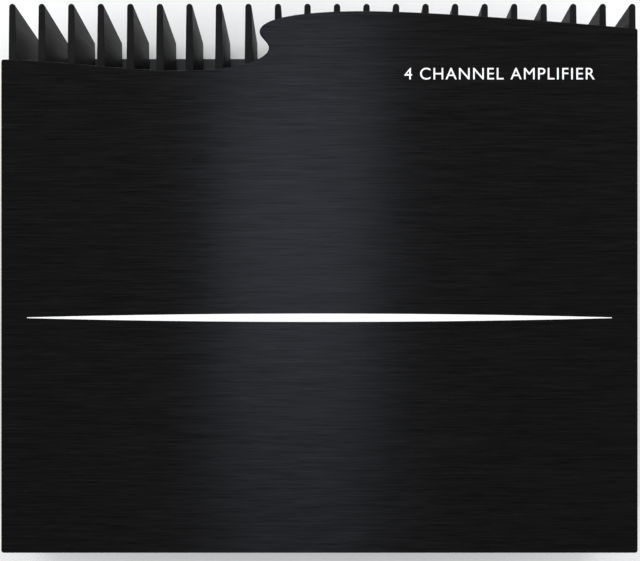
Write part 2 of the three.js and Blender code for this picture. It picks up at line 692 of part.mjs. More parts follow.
function addElectronics() {
  add("power_transformer", toroid(25, 9, 24), MATERIALS.copper, [32, 0, partZ]);
  add("output_choke", toroid(14, 5, 14), MATERIALS.copper, [-40, 26, partZ]);
  const can = turned(
    [
      [0, 0],
      [9, 0],
      [9, 30],
      [8, 31],
      [0, 31],
    ],
    20,
  );
  [-33, -11, 11, 33].forEach((y, i) =>
    add(`storage_capacitor_${i + 1}`, can, MATERIALS.sleeveBlue, [82, y, partZ]),
  );

  // Each power device lies against a heatsink wall, its three legs cranked in to the board's edge.
  const bodyY = [WALL_IN - GAP - 5, WALL_IN - GAP];
  const legT = 0.8;
  const legTop = bodyY[0] + 2;
  const legFoot = BOARD_REACH - 3;
  const crankZ = DEVICE_Z[0] - 4;
  const legs = [-5.4, 0, 5.4].flatMap((dx) => [
    block(grown([dx, dx], 0.6), [legTop, legTop + legT], [crankZ, DEVICE_Z[0] + 1]),
    block(grown([dx, dx], 0.6), [legFoot, legTop + legT], [crankZ - legT, crankZ + 0.01]),
    block(grown([dx, dx], 0.6), [legFoot, legFoot + legT], [partZ, crankZ]),
  ]);
  const device = join([block([-7.8, 7.8], bodyY, DEVICE_Z), ...legs]);
  let number = 1;
  for (const turn of [0, Math.PI])
    for (const x of DEVICE_XS) {
      add(`power_device_${number}`, device, MATERIALS.epoxy, [x, 0, 0], { z: turn });
      number += 1;
    }

  const barX = [DEVICE_XS[0] - 11, DEVICE_XS[1] + 11];
  const middleX = (barX[0] + barX[1]) / 2;
  for (const [name, side] of [
    ["device_clamp_rear", 1],
    ["device_clamp_front", -1],
  ]) {
    const ys = mirrored(side, [bodyY[0] - GAP - CLAMP_T, bodyY[0] - GAP]);
    const hole = new THREE.CylinderGeometry(1.7, 1.7, 6, 12).translate(middleX, (ys[0] + ys[1]) / 2, 30);
    add(name, cut(block(barX, ys, [24, 36]), [hole]), MATERIALS.zincSteel);
  }
}

addCover();
addHeatsinks();
addSheetMetal();
addSignalPanel();
addInputJacks();
addRemoteJack();
addKnobs();
addSwitches();
addLights();
addPowerPanel();
addPowerTerminals();
addFuses();
addSpeakerTerminals();
addPanelScrews();
addBoards();
addElectronics();

export default amplifier;
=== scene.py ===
"""Looks of the car amplifier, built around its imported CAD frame.

+Z up, +Y to the rear. Meshes are made in millimetres, in the frame's own coordinates, and make_piece
scales them to metres.
"""

import math

import bmesh
import bpy
from mathutils import Matrix, Vector
from mathutils.geometry import tessellate_polygon


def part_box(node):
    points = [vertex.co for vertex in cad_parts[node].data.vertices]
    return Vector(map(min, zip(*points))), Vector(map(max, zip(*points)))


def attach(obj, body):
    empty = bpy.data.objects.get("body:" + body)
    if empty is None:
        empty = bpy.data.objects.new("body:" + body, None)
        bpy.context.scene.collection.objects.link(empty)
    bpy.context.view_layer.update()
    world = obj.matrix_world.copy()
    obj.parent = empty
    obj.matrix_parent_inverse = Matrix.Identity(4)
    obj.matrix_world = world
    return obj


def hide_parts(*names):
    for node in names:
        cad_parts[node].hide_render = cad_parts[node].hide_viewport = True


MM = 0.001

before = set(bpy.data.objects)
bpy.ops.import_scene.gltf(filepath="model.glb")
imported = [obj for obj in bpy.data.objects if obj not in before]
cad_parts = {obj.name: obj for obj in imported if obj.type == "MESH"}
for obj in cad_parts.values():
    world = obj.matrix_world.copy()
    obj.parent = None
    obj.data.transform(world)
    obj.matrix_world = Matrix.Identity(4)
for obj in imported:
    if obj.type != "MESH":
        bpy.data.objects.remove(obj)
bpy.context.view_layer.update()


# ------------------------------------------------------------------ sizes taken from the frame
def box(node):
    """A CAD node's lowest and highest corner, in millimetres."""
    return [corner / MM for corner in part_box(node)]


def middle(node):
    low, high = box(node)
    return (low + high) / 2


def numbered(stem, count):
    return [f"{stem}_{i + 1}" for i in range(count)]


cover_low, cover_high = box("top_cover")
sink_low, sink_high = box("rear_heatsink")
base_low, base_high = box("base_plate")
deck_low, deck_high = box("inner_deck")
panel_low, panel_high = box("power_panel")

JACKS = numbered("input_jack", 4)
KNOBS = numbered("control_knob", 4)
LEVERS = numbered("switch_lever", 3)
LIGHTS = numbered("status_light", 2)
PANEL_SCREWS = numbered("panel_screw", 4)
CORNERS = [(-1, -1), (1, -1), (1, 1), (-1, 1)]

COVER_T = 2.2
COVER_TOP = cover_high.z
COVER_BASE = COVER_TOP - COVER_T
PANEL_T = 2
PANEL_FACE = panel_high.x
BASE_T = 1.5
GAP = 0.2
CLEAR = 0.3
STUD_X, STUD_Y = 127, 64
EAR_HALF = 5  # half the width of the deck's ears round the studs
STANDOFF_X, STANDOFF_Y = 100, 60  # spacers under the main board
FOOT_SLOT = {"x": 126.5, "y": 72, "length": 10, "width": 6}
BOSS_R = 4.5  # the middle screw bosses of the heatsinks
SCREW_XS = (-113, -38, 38, 113)  # screws through the deck and the base plate into the heatsinks
SCREW_Y = 75.5


# ------------------------------------------------------------------ node materials
def new_material(name):
    """A material with a Principled shader, its node tree and a function that adds linked nodes."""
    material = bpy.data.materials.new(name)
    material.use_nodes = True
    tree = material.node_tree
    shader = tree.nodes["Principled BSDF"]

    def node(kind, links=None, **settings):
        made = tree.nodes.new(kind)
        for key, value in settings.items():
            if hasattr(made, key):
                setattr(made, key, value)
            else:
                made.inputs[key.replace("_", " ")].default_value = value
        for socket, source in (links or {}).items():
            tree.links.new(source, made.inputs[socket])
        return made

    def link(source, socket):
        tree.links.new(source, shader.inputs[socket])

    return material, shader, node, link


def stretched_noise(node, scale, detail=4, roughness=0.6):
    """Noise in object space with its own scale along each axis, per metre."""
    where = node("ShaderNodeTexCoord")
    mapped = node("ShaderNodeMapping", {"Vector": where.outputs["Object"]})
    mapped.inputs["Scale"].default_value = scale
    return node(
        "ShaderNodeTexNoise",
        {"Vector": mapped.outputs["Vector"]},
        Scale=1.0,
        Detail=detail,
        Roughness=roughness,
    )


def ramp(node, source, low, high):
    """The source's value spread over a range from low to high."""
    spread = node("ShaderNodeMapRange", {"Value": source}, From_Min=0.3, From_Max=0.7)
    spread.inputs["To Min"].default_value = low
    spread.inputs["To Max"].default_value = high
    return spread.outputs["Result"]


def blend_colours(node, factor, first, second):
    mix = node("ShaderNodeMix", data_type="RGBA")
    mix.inputs["A"].default_value = (*first, 1)
    mix.inputs["B"].default_value = (*second, 1)
    mix.id_data.links.new(factor, mix.inputs["Factor"])
    return mix.outputs["Result"]


def bump(node, link, height, strength, distance):
    made = node("ShaderNodeBump", {"Height": height}, Strength=strength, Distance=distance)
    link(made.outputs["Normal"], "Normal")


def grained(name, dark, light, roughness, metallic=0.0, scale=(400, 400, 400), strength=0.3):
    """A surface whose colour, gloss and height vary with one fine noise and one broad noise."""
    material, shader, node, link = new_material(name)
    fine = stretched_noise(node, scale)
    broad = stretched_noise(node, (30, 30, 30), detail=2)
    link(blend_colours(node, ramp(node, fine.outputs["Fac"], 0, 1), dark, light), "Base Color")
    link(ramp(node, broad.outputs["Fac"], roughness - 0.05, roughness + 0.05), "Roughness")
    shader.inputs["Metallic"].default_value = metallic
    bump(node, link, fine.outputs["Fac"], strength, 0.02 * MM)
    return material


def brushed_black():
    """Black anodised plate brushed along X, whose highlight spreads across the brushing."""
    material, shader, node, link = new_material("brushed_black")
    fine = stretched_noise(node, (55, 2100, 60), detail=6, roughness=0.75)
    long = stretched_noise(node, (9, 900, 30), detail=3)
    where = node("ShaderNodeTexCoord")
    normal = node("ShaderNodeSeparateXYZ", {"Vector": where.outputs["Normal"]})
    flat = node("ShaderNodeMath", {0: normal.outputs["Z"]}, operation="ABSOLUTE")
    streaks = node(
        "ShaderNodeMath",
        {0: fine.outputs["Fac"], 1: flat.outputs["Value"]},
        operation="MULTIPLY",
    )
    both = node(
        "ShaderNodeMath",
        {0: streaks.outputs["Value"], 1: long.outputs["Fac"]},
        operation="MULTIPLY",
    )
    tone = ramp(node, streaks.outputs["Value"], 0, 1)
    link(blend_colours(node, tone, (0.006, 0.0059, 0.0061), (0.0185, 0.0183, 0.0188)), "Base Color")
    link(ramp(node, streaks.outputs["Value"], 0.22, 0.28), "Roughness")
    tangent = node("ShaderNodeTangent", direction_type="UV_MAP", uv_map="plan")
    link(tangent.outputs["Tangent"], "Tangent")
    shader.inputs["Metallic"].default_value = 1.0
    shader.inputs["Anisotropic"].default_value = 0.95
    shader.inputs["Anisotropic Rotation"].default_value = 0.25
    bump(node, link, both.outputs["Value"], 0.15, 0.01 * MM)
    return material


def extruded_black():
    """Black anodised extrusion with fine die lines along Z."""
    material, shader, node, link = new_material("extruded_black")
    lines = stretched_noise(node, (1500, 1500, 12), detail=3)
    dust = stretched_noise(node, (60, 60, 60), detail=4)
    tone = ramp(node, dust.outputs["Fac"], 0, 1)
    link(blend_colours(node, tone, (0.004, 0.004, 0.0042), (0.008, 0.008, 0.0083)), "Base Color")
    link(ramp(node, lines.outputs["Fac"], 0.46, 0.58), "Roughness")
    shader.inputs["Metallic"].default_value = 0.0
    shader.inputs["Specular IOR Level"].default_value = 0.08
    bump(node, link, lines.outputs["Fac"], 0.25, 0.02 * MM)
    return material


def solder_mask():
    """Green lacquer over a maze of copper tracks, with pale solder dots."""
    material, shader, node, link = new_material("solder_mask")
    where = node("ShaderNodeTexCoord")
    cells = node(
        "ShaderNodeTexVoronoi",
        {"Vector": where.outputs["Object"]},
        Scale=140.0,
        Randomness=0.55,
        distance="CHEBYCHEV",
        feature="F1",
    )
    tracks = node("ShaderNodeMath", {0: cells.outputs["Distance"]}, operation="PINGPONG")
    tracks.inputs[1].default_value = 0.16
    tone = node("ShaderNodeMapRange", {"Value": tracks.outputs["Value"]}, From_Min=0.04, From_Max=0.12)
    greens = blend_colours(node, tone.outputs["Result"], (0.008, 0.06, 0.025), (0.02, 0.14, 0.06))
    link(greens, "Base Color")
    shader.inputs["Roughness"].default_value = 0.3
    bump(node, link, tone.outputs["Result"], 0.4, 0.03 * MM)
    return material


def enamelled_wire():
    """Copper seen through tinted enamel, darker in patches."""
    material, shader, node, link = new_material("enamelled_wire")
    patches = stretched_noise(node, (300, 300, 300), detail=3)
    tone = ramp(node, patches.outputs["Fac"], 0, 1)
    link(blend_colours(node, tone, (0.32, 0.09, 0.025), (0.62, 0.24, 0.09)), "Base Color")
    link(ramp(node, patches.outputs["Fac"], 0.22, 0.36), "Roughness")
    shader.inputs["Metallic"].default_value = 0.9
    bump(node, link, patches.outputs["Fac"], 0.1, 0.02 * MM)
    return material


def tinted_plastic(name, dark, light):
    """Clear coloured moulding with faint flow lines."""
    material, shader, node, link = new_material(name)
    flow = stretched_noise(node, (120, 120, 700), detail=3)
    link(blend_colours(node, ramp(node, flow.outputs["Fac"], 0, 1), dark, light), "Base Color")
    link(ramp(node, flow.outputs["Fac"], 0.12, 0.22), "Roughness")
    shader.inputs["Transmission Weight"].default_value = 0.25
    bump(node, link, flow.outputs["Fac"], 0.05, 0.02 * MM)
    return material


def glowing(name, colour, strength):
    """A lit lens with a slight haze."""
    material, shader, node, link = new_material(name)
    haze = stretched_noise(node, (500, 500, 500), detail=2)
    link(blend_colours(node, haze.outputs["Fac"], colour, [min(1, c * 1.3) for c in colour]), "Base Color")
    link(ramp(node, haze.outputs["Fac"], 0.1, 0.2), "Roughness")
    shader.inputs["Emission Color"].default_value = (*colour, 1)
    shader.inputs["Emission Strength"].default_value = strength
    return material


def moulded(name, dark, light, roughness, grain=1200, strength=0.2):
    """A non-metal with an even moulded or painted grain."""
    return grained(name, dark, light, roughness, scale=(grain,) * 3, strength=strength)


BRUSHED_BLACK = brushed_black()
EXTRUDED_BLACK = extruded_black()
POWDER_BLACK = moulded("powder_black", (0.012, 0.012, 0.012), (0.022, 0.022, 0.023), 0.5, 1800, 0.35)
MOULDED_BLACK = moulded("moulded_black", (0.012, 0.012, 0.012), (0.02, 0.02, 0.02), 0.42)
KNOB_BLACK = moulded("knob_black", (0.016, 0.016, 0.017), (0.024, 0.024, 0.025), 0.36, 1600, 0.25)
EPOXY = moulded("epoxy_black", (0.01, 0.01, 0.01), (0.018, 0.018, 0.018), 0.55, 1500)
WHITE_INK = moulded("white_ink", (0.82, 0.83, 0.84), (0.9, 0.9, 0.9), 0.5, 900, 0.1)
WHITE_RING = moulded("white_insulator", (0.7, 0.7, 0.68), (0.8, 0.8, 0.78), 0.35, 700, 0.08)
RED_RING = moulded("red_insulator", (0.45, 0.015, 0.012), (0.55, 0.025, 0.02), 0.35, 700, 0.08)
SLEEVE_BLUE = moulded("sleeve_blue", (0.008, 0.02, 0.09), (0.012, 0.03, 0.13), 0.3, 300, 0.08)
RESISTOR_BLUE = moulded("resistor_blue", (0.02, 0.16, 0.3), (0.03, 0.22, 0.4), 0.35, 500, 0.1)
ZINC = grained("zinc_plate", (0.5, 0.5, 0.52), (0.62, 0.62, 0.63), 0.32, 1.0, (90, 1400, 90))
GOLD = grained("gold_plate", (0.78, 0.55, 0.2), (0.86, 0.64, 0.27), 0.2, 1.0, (900, 900, 900), 0.08)
BRASS = grained("plated_brass", (0.66, 0.5, 0.22), (0.76, 0.6, 0.3), 0.28, 1.0, (80, 900, 900), 0.15)
BLACK_STEEL = grained("black_steel", (0.02, 0.02, 0.021), (0.04, 0.04, 0.042), 0.34, 0.9, (700, 700, 700))
DULL_ZINC = grained("dull_zinc", (0.14, 0.14, 0.15), (0.2, 0.2, 0.21), 0.42, 1.0, (90, 1400, 90))
ALUMINIUM = grained("can_top", (0.6, 0.6, 0.61), (0.7, 0.7, 0.71), 0.3, 1.0, (1100, 200, 200))
BOARD_GREEN = solder_mask()
COPPER_WIRE = enamelled_wire()
FUSE_ORANGE = tinted_plastic("fuse_orange", (0.75, 0.14, 0.01), (0.85, 0.2, 0.02))
BLUE_LIGHT = glowing("blue_light", (0.05, 0.25, 0.9), 1.2)


# ------------------------------------------------------------------ mesh making
def merge(target, source):
    """Adds one bmesh to another."""
    mesh = bpy.data.meshes.new("joined")
    source.to_mesh(mesh)
    source.free()
    target.from_mesh(mesh)
    bpy.data.meshes.remove(mesh)


def joined(parts):
    whole = parts[0]
    for part in parts[1:]:
        merge(whole, part)
    return whole


def placed(bm, matrix):
    bmesh.ops.transform(bm, matrix=matrix, verts=bm.verts)
    return bm


def make_piece(name, parts, body, replaces=()):
    """A finished piece from (bmesh, material) parts: smooth where it is round, crisp where it is not."""
    whole = bmesh.new()
    for number, (part, _) in enumerate(parts):
        bmesh.ops.remove_doubles(part, verts=part.verts, dist=1e-4)
        bmesh.ops.recalc_face_normals(part, faces=part.faces)
        for face in part.faces:
            face.material_index = number
        merge(whole, part)
    placed(whole, Matrix.Scale(MM, 4))
    mesh = bpy.data.meshes.new(name)
    whole.to_mesh(mesh)
    whole.free()
    for _, material in parts:
        mesh.materials.append(material)
    mesh.shade_smooth()
    mesh.set_sharp_from_angle(angle=math.radians(32))
    piece = bpy.data.objects.new(name, mesh)
    bpy.context.scene.collection.objects.link(piece)
    weighted = piece.modifiers.new("crisp_faces", "WEIGHTED_NORMAL")
    weighted.keep_sharp = True
    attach(piece, body)
    if replaces:
        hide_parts(*replaces)
    return piece


def inset(loop, distance):
    """A loop of points moved to its left by distance, with mitred corners."""
    moved = []
    count = len(loop)
    for i, here in enumerate(loop):
        before = (Vector(here) - Vector(loop[i - 1])).normalized()
        after = (Vector(loop[(i + 1) % count]) - Vector(here)).normalized()
        left_before = Vector((-before.y, before.x))
        left_after = Vector((-after.y, after.x))
        mitre = (left_before + left_after) / (1 + left_before.dot(left_after))
        moved.append(tuple(Vector(here) + mitre * distance))
    return moved


def plate(loops, low, high, edge, steps=3):
    """A flat plate with rounded edges. The outline runs anticlockwise and each hole clockwise."""
    bm = bmesh.new()
    quarter = [math.pi / 2 * k / steps for k in range(steps + 1)]
    levels = [(edge * (1 - math.sin(a)), low + edge * (1 - math.cos(a))) for a in quarter]
    levels += [(shift, high + low - z) for shift, z in reversed(levels)]
    rings = []
    for loop in loops:
        rings.append([[bm.verts.new((x, y, z)) for x, y in inset(loop, shift)] for shift, z in levels])
    for ring in rings:
        for lower, upper in zip(ring, ring[1:]):
            for i in range(len(lower)):
                bm.faces.new((lower[i - 1], lower[i], upper[i], upper[i - 1]))
    for level in (0, -1):
        flat = [v for ring in rings for v in ring[level]]
        polygons = [[v.co for v in ring[level]] for ring in rings]
        for triangle in tessellate_polygon(polygons):
            bm.faces.new([flat[i] for i in triangle])
    bmesh.ops.dissolve_limit(bm, angle_limit=math.radians(0.5), verts=bm.verts, edges=bm.edges)
    return bm


def circle(x, y, radius, sides=24, hole=True):
    """A loop of points, clockwise for a hole and anticlockwise for an outline."""
    turn = -1 if hole else 1
    angles = [turn * 2 * math.pi * i / sides for i in range(sides)]
    return [(x + radius * math.cos(a), y + radius * math.sin(a)) for a in angles]


def slot_hole(x, y, length, width, sides=10):
    """Clockwise loop of a hole with round ends, long in X."""
    reach = (length - width) / 2
    right = [math.pi / 2 - math.pi * i / sides for i in range(sides + 1)]
    points = [(x + reach + width / 2 * math.cos(a), y + width / 2 * math.sin(a)) for a in right]
    return points + [(2 * x - px, 2 * y - py) for px, py in points]


def rounded_rectangle(x0, x1, y0, y1, corner, steps=4):
    """Anticlockwise rectangle with round corners."""
    centres = [(x1 - corner, y0 + corner), (x1 - corner, y1 - corner)]
    centres += [(x0 + corner, y1 - corner), (x0 + corner, y0 + corner)]
    points = []
    for quarter, (x, y) in enumerate(centres):
        angles = [math.pi / 2 * (quarter - 1 + k / steps) for k in range(steps + 1)]
        points += [(x + corner * math.cos(a), y + corner * math.sin(a)) for a in angles]
    return points


def bezier(start, first, second, end, steps=24):
    """Points along a cubic curve, without its start."""
    points = []
    for i in range(1, steps + 1):
        t = i / steps
        s = 1 - t
        weights = (s**3, 3 * s * s * t, 3 * s * t * t, t**3)
        pulls = list(zip(weights, (start, first, second, end)))
        points.append(tuple(sum(w * p[k] for w, p in pulls) for k in (0, 1)))
    return points


def arc(centre, radii, start, end, steps=6):
    """Points along part of an ellipse, angles in degrees."""
    angles = [math.radians(start + (end - start) * k / steps) for k in range(steps + 1)]
    return [(centre[0] + radii[0] * math.cos(a), centre[1] + radii[1] * math.sin(a)) for a in angles]


def turned(profile, sides=32, ring=False):
    """A solid turned about +Z from (radius, height) pairs, from axis to axis unless ring is set."""
    bm = bmesh.new()
    rows = []
    for radius, height in profile:
        if radius < 1e-6:
            rows.append([bm.verts.new((0, 0, height))])
            continue
        angles = [2 * math.pi * i / sides for i in range(sides)]
        rows.append([bm.verts.new((radius * math.cos(a), radius * math.sin(a), height)) for a in angles])
    following = rows[1:] + (rows[:1] if ring else [])
    for lower, upper in zip(rows, following):
        for i in range(sides):
            corners = [lower[i % len(lower)], lower[(i + 1) % len(lower)]]
            corners += [upper[(i + 1) % len(upper)], upper[i % len(upper)]]
            unique = list(dict.fromkeys(corners))
            if len(unique) > 2:
                bm.faces.new(unique)
    return bm


def cylinder(radius, low, high, sides=32):
    """An upright round bar about the origin."""
    return turned([(0, low), (radius, low), (radius, high), (0, high)], sides)


def block(*limits):
    """A box from its (lowest, highest) pair along X, Y and Z."""
    bm = bmesh.new()
    bmesh.ops.create_cube(bm, size=1)
    centre = [(low + high) / 2 for low, high in limits]
    size = [high - low for low, high in limits]
    return placed(bm, Matrix.Translation(centre) @ Matrix.Diagonal((*size, 1)))


def about(centre, half):
    return centre - half, centre + half


def shift(x, y, z=0):
    return Matrix.Translation((x, y, z))


def whole_block(node):
    """The block that fills a CAD node's box."""
    low, high = box(node)
    return block((low.x, high.x), (low.y, high.y), (low.z, high.z))


def standing_at(bm, node):
    """Puts an upright solid made from height 0 where a node stands."""
    centre = middle(node)
    return placed(bm, shift(centre.x, centre.y, box(node)[0].z))


def temporary(bm, name):
    mesh = bpy.data.meshes.new(name)
    bmesh.ops.recalc_face_normals(bm, faces=bm.faces)
    bm.to_mesh(mesh)
    bm.free()
    holder = bpy.data.objects.new(name, mesh)
    bpy.context.scene.collection.objects.link(holder)
    return holder


def carved(solid, cutters=(), edge=0.15, segments=2):
    """A solid with others cut away and the edges that are left rounded."""
    base = temporary(solid, "carved")
    helpers = []
    for cutter in cutters:
        helper = temporary(cutter, "cutter")
        helpers.append(helper)
        cutting = base.modifiers.new("cut", "BOOLEAN")
        cutting.operation = "DIFFERENCE"
        cutting.solver = "EXACT"
        cutting.object = helper
    rounding = base.modifiers.new("edge", "BEVEL")
    rounding.width = edge
    rounding.segments = segments
    rounding.limit_method = "ANGLE"
    rounding.angle_limit = math.radians(35)
    rounding.use_clamp_overlap = True
    mesh = bpy.data.meshes.new_from_object(base.evaluated_get(bpy.context.evaluated_depsgraph_get()))
    bm = bmesh.new()
    bm.from_mesh(mesh)
    bpy.data.meshes.remove(mesh)
    for holder in [base, *helpers]:
        bpy.data.objects.remove(holder)
    return bm


def facing(sign, y=0, z=0):
    """From a frame with +Z out of a connector panel, +Y up and +X to the right of someone facing it."""
    turn = Matrix(((0, 0, sign, 0), (sign, 0, 0, 0), (0, 1, 0, 0), (0, 0, 0, 1)))
    return Matrix.Translation((sign * PANEL_FACE, y, z)) @ turn


def on_panel(bm, sign, node):
    """Puts a solid made in a panel's own frame where a node's middle is."""
    centre = middle(node)
    return placed(bm, facing(sign, centre.y, centre.z))


# ------------------------------------------------------------------ screws
def hex_socket(radius, low, high):
    return cylinder(radius, low, high, 6)


def cross_recess(reach, width, low, high):
    """Two crossed slots, as one cutter."""
    arms = [(reach, width / 2), (width / 2, reach)]
    return [block((-x, x), (-y, y), (low, high)) for x, y in arms]


def button_screw(shank=5.2, seat=GAP):
    """Button-head screw with a hexagon socket, along +Z, its head resting at height seat."""
    profile = [(0, -shank), (1.1, -shank), (1.4, -shank + 0.4), (1.4, seat)]
    profile += [(2.8, seat), (2.9, seat + 0.15)]
    profile += arc((0, seat + 0.6), (2.9, 1.4), 0, 84, 8)
    profile += [(0, seat + 2)]
    return carved(turned(profile), [hex_socket(1.15, seat + 0.7, seat + 3)], 0.08)


def flush_screw(top, shank):
    """Countersunk cross-head screw along +Z with its face at height top."""
    profile = [(0, top - shank), (1.2, top - shank), (1.5, top - shank + 0.4), (1.5, top - 1.35)]
    profile += [(2.75, top - 0.12), (2.75, top), (0, top)]
    return carved(turned(profile, 28), cross_recess(1.5, 0.7, top - 0.8, top + 1), 0.06)


def sink_cutter(top):
    """Cuts the cone that a countersunk head sits in."""
    profile = [(0, top - 1.5), (1.6, top - 1.5), (2.95, top - 0.15), (2.95, top + 0.5), (0, top + 0.5)]
    return turned(profile, 28)


# ------------------------------------------------------------------ printing
INK = 0.04  # thickness of printed ink


def lettering(text, left, right, base, height, low=0.0):
    """A thin print on a base line from left to right, or in its own proportions if right is None."""
    curve = bpy.data.curves.new("words", "FONT")
    curve.body = text
    curve.size = 1
    curve.space_character = 1.12
    curve.fill_mode = "FRONT"
    holder = bpy.data.objects.new("words", curve)
    bpy.context.scene.collection.objects.link(holder)
    mesh = bpy.data.meshes.new_from_object(holder.evaluated_get(bpy.context.evaluated_depsgraph_get()))
    bm = bmesh.new()
    bm.from_mesh(mesh)
    bpy.data.objects.remove(holder)
    bpy.data.curves.remove(curve)
    bpy.data.meshes.remove(mesh)
    xs = [v.co.x for v in bm.verts]
    ys = [v.co.y for v in bm.verts]
    stretch_y = height / (max(ys) - min(ys))
    stretch_x = stretch_y if right is None else (right - left) / (max(xs) - min(xs))
    for vert in bm.verts:
        vert.co.x = left + (vert.co.x - min(xs)) * stretch_x
        vert.co.y = base + (vert.co.y - min(ys)) * stretch_y
        vert.co.z = low
    grown = bmesh.ops.extrude_face_region(bm, geom=bm.faces[:])
    for item in grown["geom"]:
        if isinstance(item, bmesh.types.BMVert):
            item.co.z = low + INK
    return bm


def printed(loop, low=0.0):
    """A thin printed patch from its anticlockwise outline."""
    return plate([loop], low, low + INK, 0.01, 1)


def dash(start, end, width, low=0.0):
    """A thin printed line between two points."""
    along = (Vector(end) - Vector(start)).normalized() * width / 2
    across = Vector((-along.y, along.x))
    a, b = Vector(start), Vector(end)
    return printed([tuple(p) for p in (a - across, b - across, b + across, a + across)], low)


def plus_sign(x, y, size):
    reach, half = size / 2, size / 8
    arm = [(half, -reach), (half, -half), (reach, -half)]
    loop = []
    for quarter in range(4):
        a = math.pi / 2 * quarter
        along, across = math.cos(a), math.sin(a)
        loop += [(x + u * along - v * across, y + u * across + v * along) for u, v in arm]
    return printed(loop)


# ------------------------------------------------------------------ cover
def cover_outline():
    """Anticlockwise plan of the cover, with the S-curve along its rear edge."""
    side = cover_high.x
    front = cover_low.y
    corner = 1.2
    left_y, right_y = 92.6, 105.7
    hollow_y, peak_y = 87.9, 113.1
    hook_x, nose_x = -21.5, -25.4
    points = [(-side, left_y - corner), (-side, front + corner)]
    points += bezier(points[-1], (-side, front + 0.4), (-side + 0.4, front), (-side + corner, front), 5)
    points += [(side - corner, front)]
    points += bezier(points[-1], (side - 0.4, front), (side, front + 0.4), (side, front + corner), 5)
    points += [(side, right_y - corner)]
    points += bezier(points[-1], (side, right_y - 0.4), (side - 0.4, right_y), (side - corner, right_y), 5)
    points += bezier(points[-1], (103, 108.6), (45, peak_y), (19, peak_y), 40)
    points += bezier(points[-1], (-6, peak_y), (nose_x, 110.5), (nose_x, 104.4), 32)
    points += bezier(points[-1], (nose_x, 102), (hook_x, 100.2), (hook_x, 97.6), 16)
    points += bezier(points[-1], (hook_x, 92.2), (-36, hollow_y), (-59.5, hollow_y), 32)
    points += bezier(points[-1], (-86, hollow_y), (-108, 92.4), (-side + corner, left_y), 32)
    last = (-side, left_y - corner)
    points += bezier(points[-1], (-side + 0.4, left_y), (-side, left_y - 0.4), last, 5)[:-1]
    return points


def add_plan_uv(piece):
    """UVs that follow X and Y, which the brushing's tangent is taken from."""
    layer = piece.data.uv_layers.new(name="plan")
    for loop in piece.data.loops:
        x, y, _ = piece.data.vertices[loop.vertex_index].co
        layer.data[loop.index].uv = (x * 3 + 0.5, y * 3 + 0.5)


def cover_stud(x, y):
    """A snap stud under the cover, with a groove near its end for the deck's clip."""
    end = cover_low.z
    waist = [(1.5, end + 1.9), (1.15, end + 2.3), (1.15, end + 3.1), (1.5, end + 3.5)]
    root = COVER_BASE + 0.1
    profile = [(0, end), (0.9, end), (1.5, end + 0.9), *waist, (1.5, root), (0, root)]
    return placed(turned(profile, 24), shift(x, y))


def build_cover():
    top = plate([cover_outline()], COVER_BASE, COVER_TOP, 0.3)
    studs = joined([cover_stud(x * STUD_X, y * STUD_Y) for x, y in CORNERS])
    parts = [(top, BRUSHED_BLACK), (studs, BLACK_STEEL)]
    add_plan_uv(make_piece("cover_plate", parts, "cover", ["top_cover"]))


def build_stripe():
    """A plain straight white line across the cover, narrower towards both ends."""
    reach, across, tip, swell, steps = 124, -17, 0.15, 1.6, 40
    xs = [reach * (2 * i / steps - 1) for i in range(steps + 1)]
    edge = [(x, tip + swell * (1 - (x / reach) ** 2)) for x in xs]
    outline = [(x, across - half) for x, half in edge] + [(x, across + half) for x, half in reversed(edge)]
    make_piece("cover_stripe", [(printed(outline, COVER_TOP), WHITE_INK)], "cover")


def build_cover_words():
    """One line of plain generic lettering at the rear right of the cover."""
    left, base, height = 36, 84, 5
    words = lettering("4 CHANNEL AMPLIFIER", left, None, base, height, COVER_TOP)
    make_piece("cover_lettering", [(words, WHITE_INK)], "cover")


# ------------------------------------------------------------------ heatsinks
FIN_COUNT = 22
FIN_ROOT = 3.4
FIN_TIP = 2.7
FIN_PITCH = (sink_high.x - sink_low.x - FIN_ROOT) / (FIN_COUNT - 1)
TIP_DROP = 6.95
WALL_IN = sink_low.y + 8
WALL_OUT = WALL_IN + 6.5
GROOVE_Y = WALL_IN + 1.5


def heatsink_inside():
    """The wall's inner side from left to right, with panel grooves and screw bosses."""
    groove_out, groove_in = PANEL_FACE + GAP, PANEL_FACE - PANEL_T - GAP
    boss_end, boss_foot = 108, SCREW_Y - 4
    end = [(groove_out, WALL_IN), (groove_out, GROOVE_Y), (groove_in, GROOVE_Y)]
    end += [(groove_in, boss_foot), (boss_end, boss_foot), (boss_end, WALL_IN)]
    points = [(sink_low.x, WALL_IN)] + [(-x, y) for x, y in end]
    for x in SCREW_XS[1:3]:
        points += [(x - BOSS_R, WALL_IN)]
        points += arc((x, SCREW_Y), (BOSS_R, BOSS_R), 180, 360, 12)
        points += [(x + BOSS_R, WALL_IN)]
    return points + end[::-1] + [(sink_high.x, WALL_IN)]


def heatsink_outline():
    """Anticlockwise plan of the rear heatsink, its inner side followed by its rounded fins."""
    fillet = 1.6
    tip_y = sink_high.y - FIN_TIP / 2
    points = heatsink_inside()
    for i in range(FIN_COUNT - 1, -1, -1):
        x = sink_low.x + FIN_ROOT / 2 + i * FIN_PITCH
        right, left = x + FIN_ROOT / 2, x - FIN_ROOT / 2
        if i < FIN_COUNT - 1:
            start, corner = (right + fillet, WALL_OUT), (right, WALL_OUT)
            points += [start] + bezier(start, corner, corner, (right, WALL_OUT + fillet), 5)
        points += arc((x, tip_y), (FIN_TIP / 2, FIN_TIP / 2), 0, 180, 12)
        if i > 0:
            start, corner = (left, WALL_OUT + fillet), (left, WALL_OUT)
            points += [start] + bezier(start, corner, corner, (left - fillet, WALL_OUT), 5)
    return points


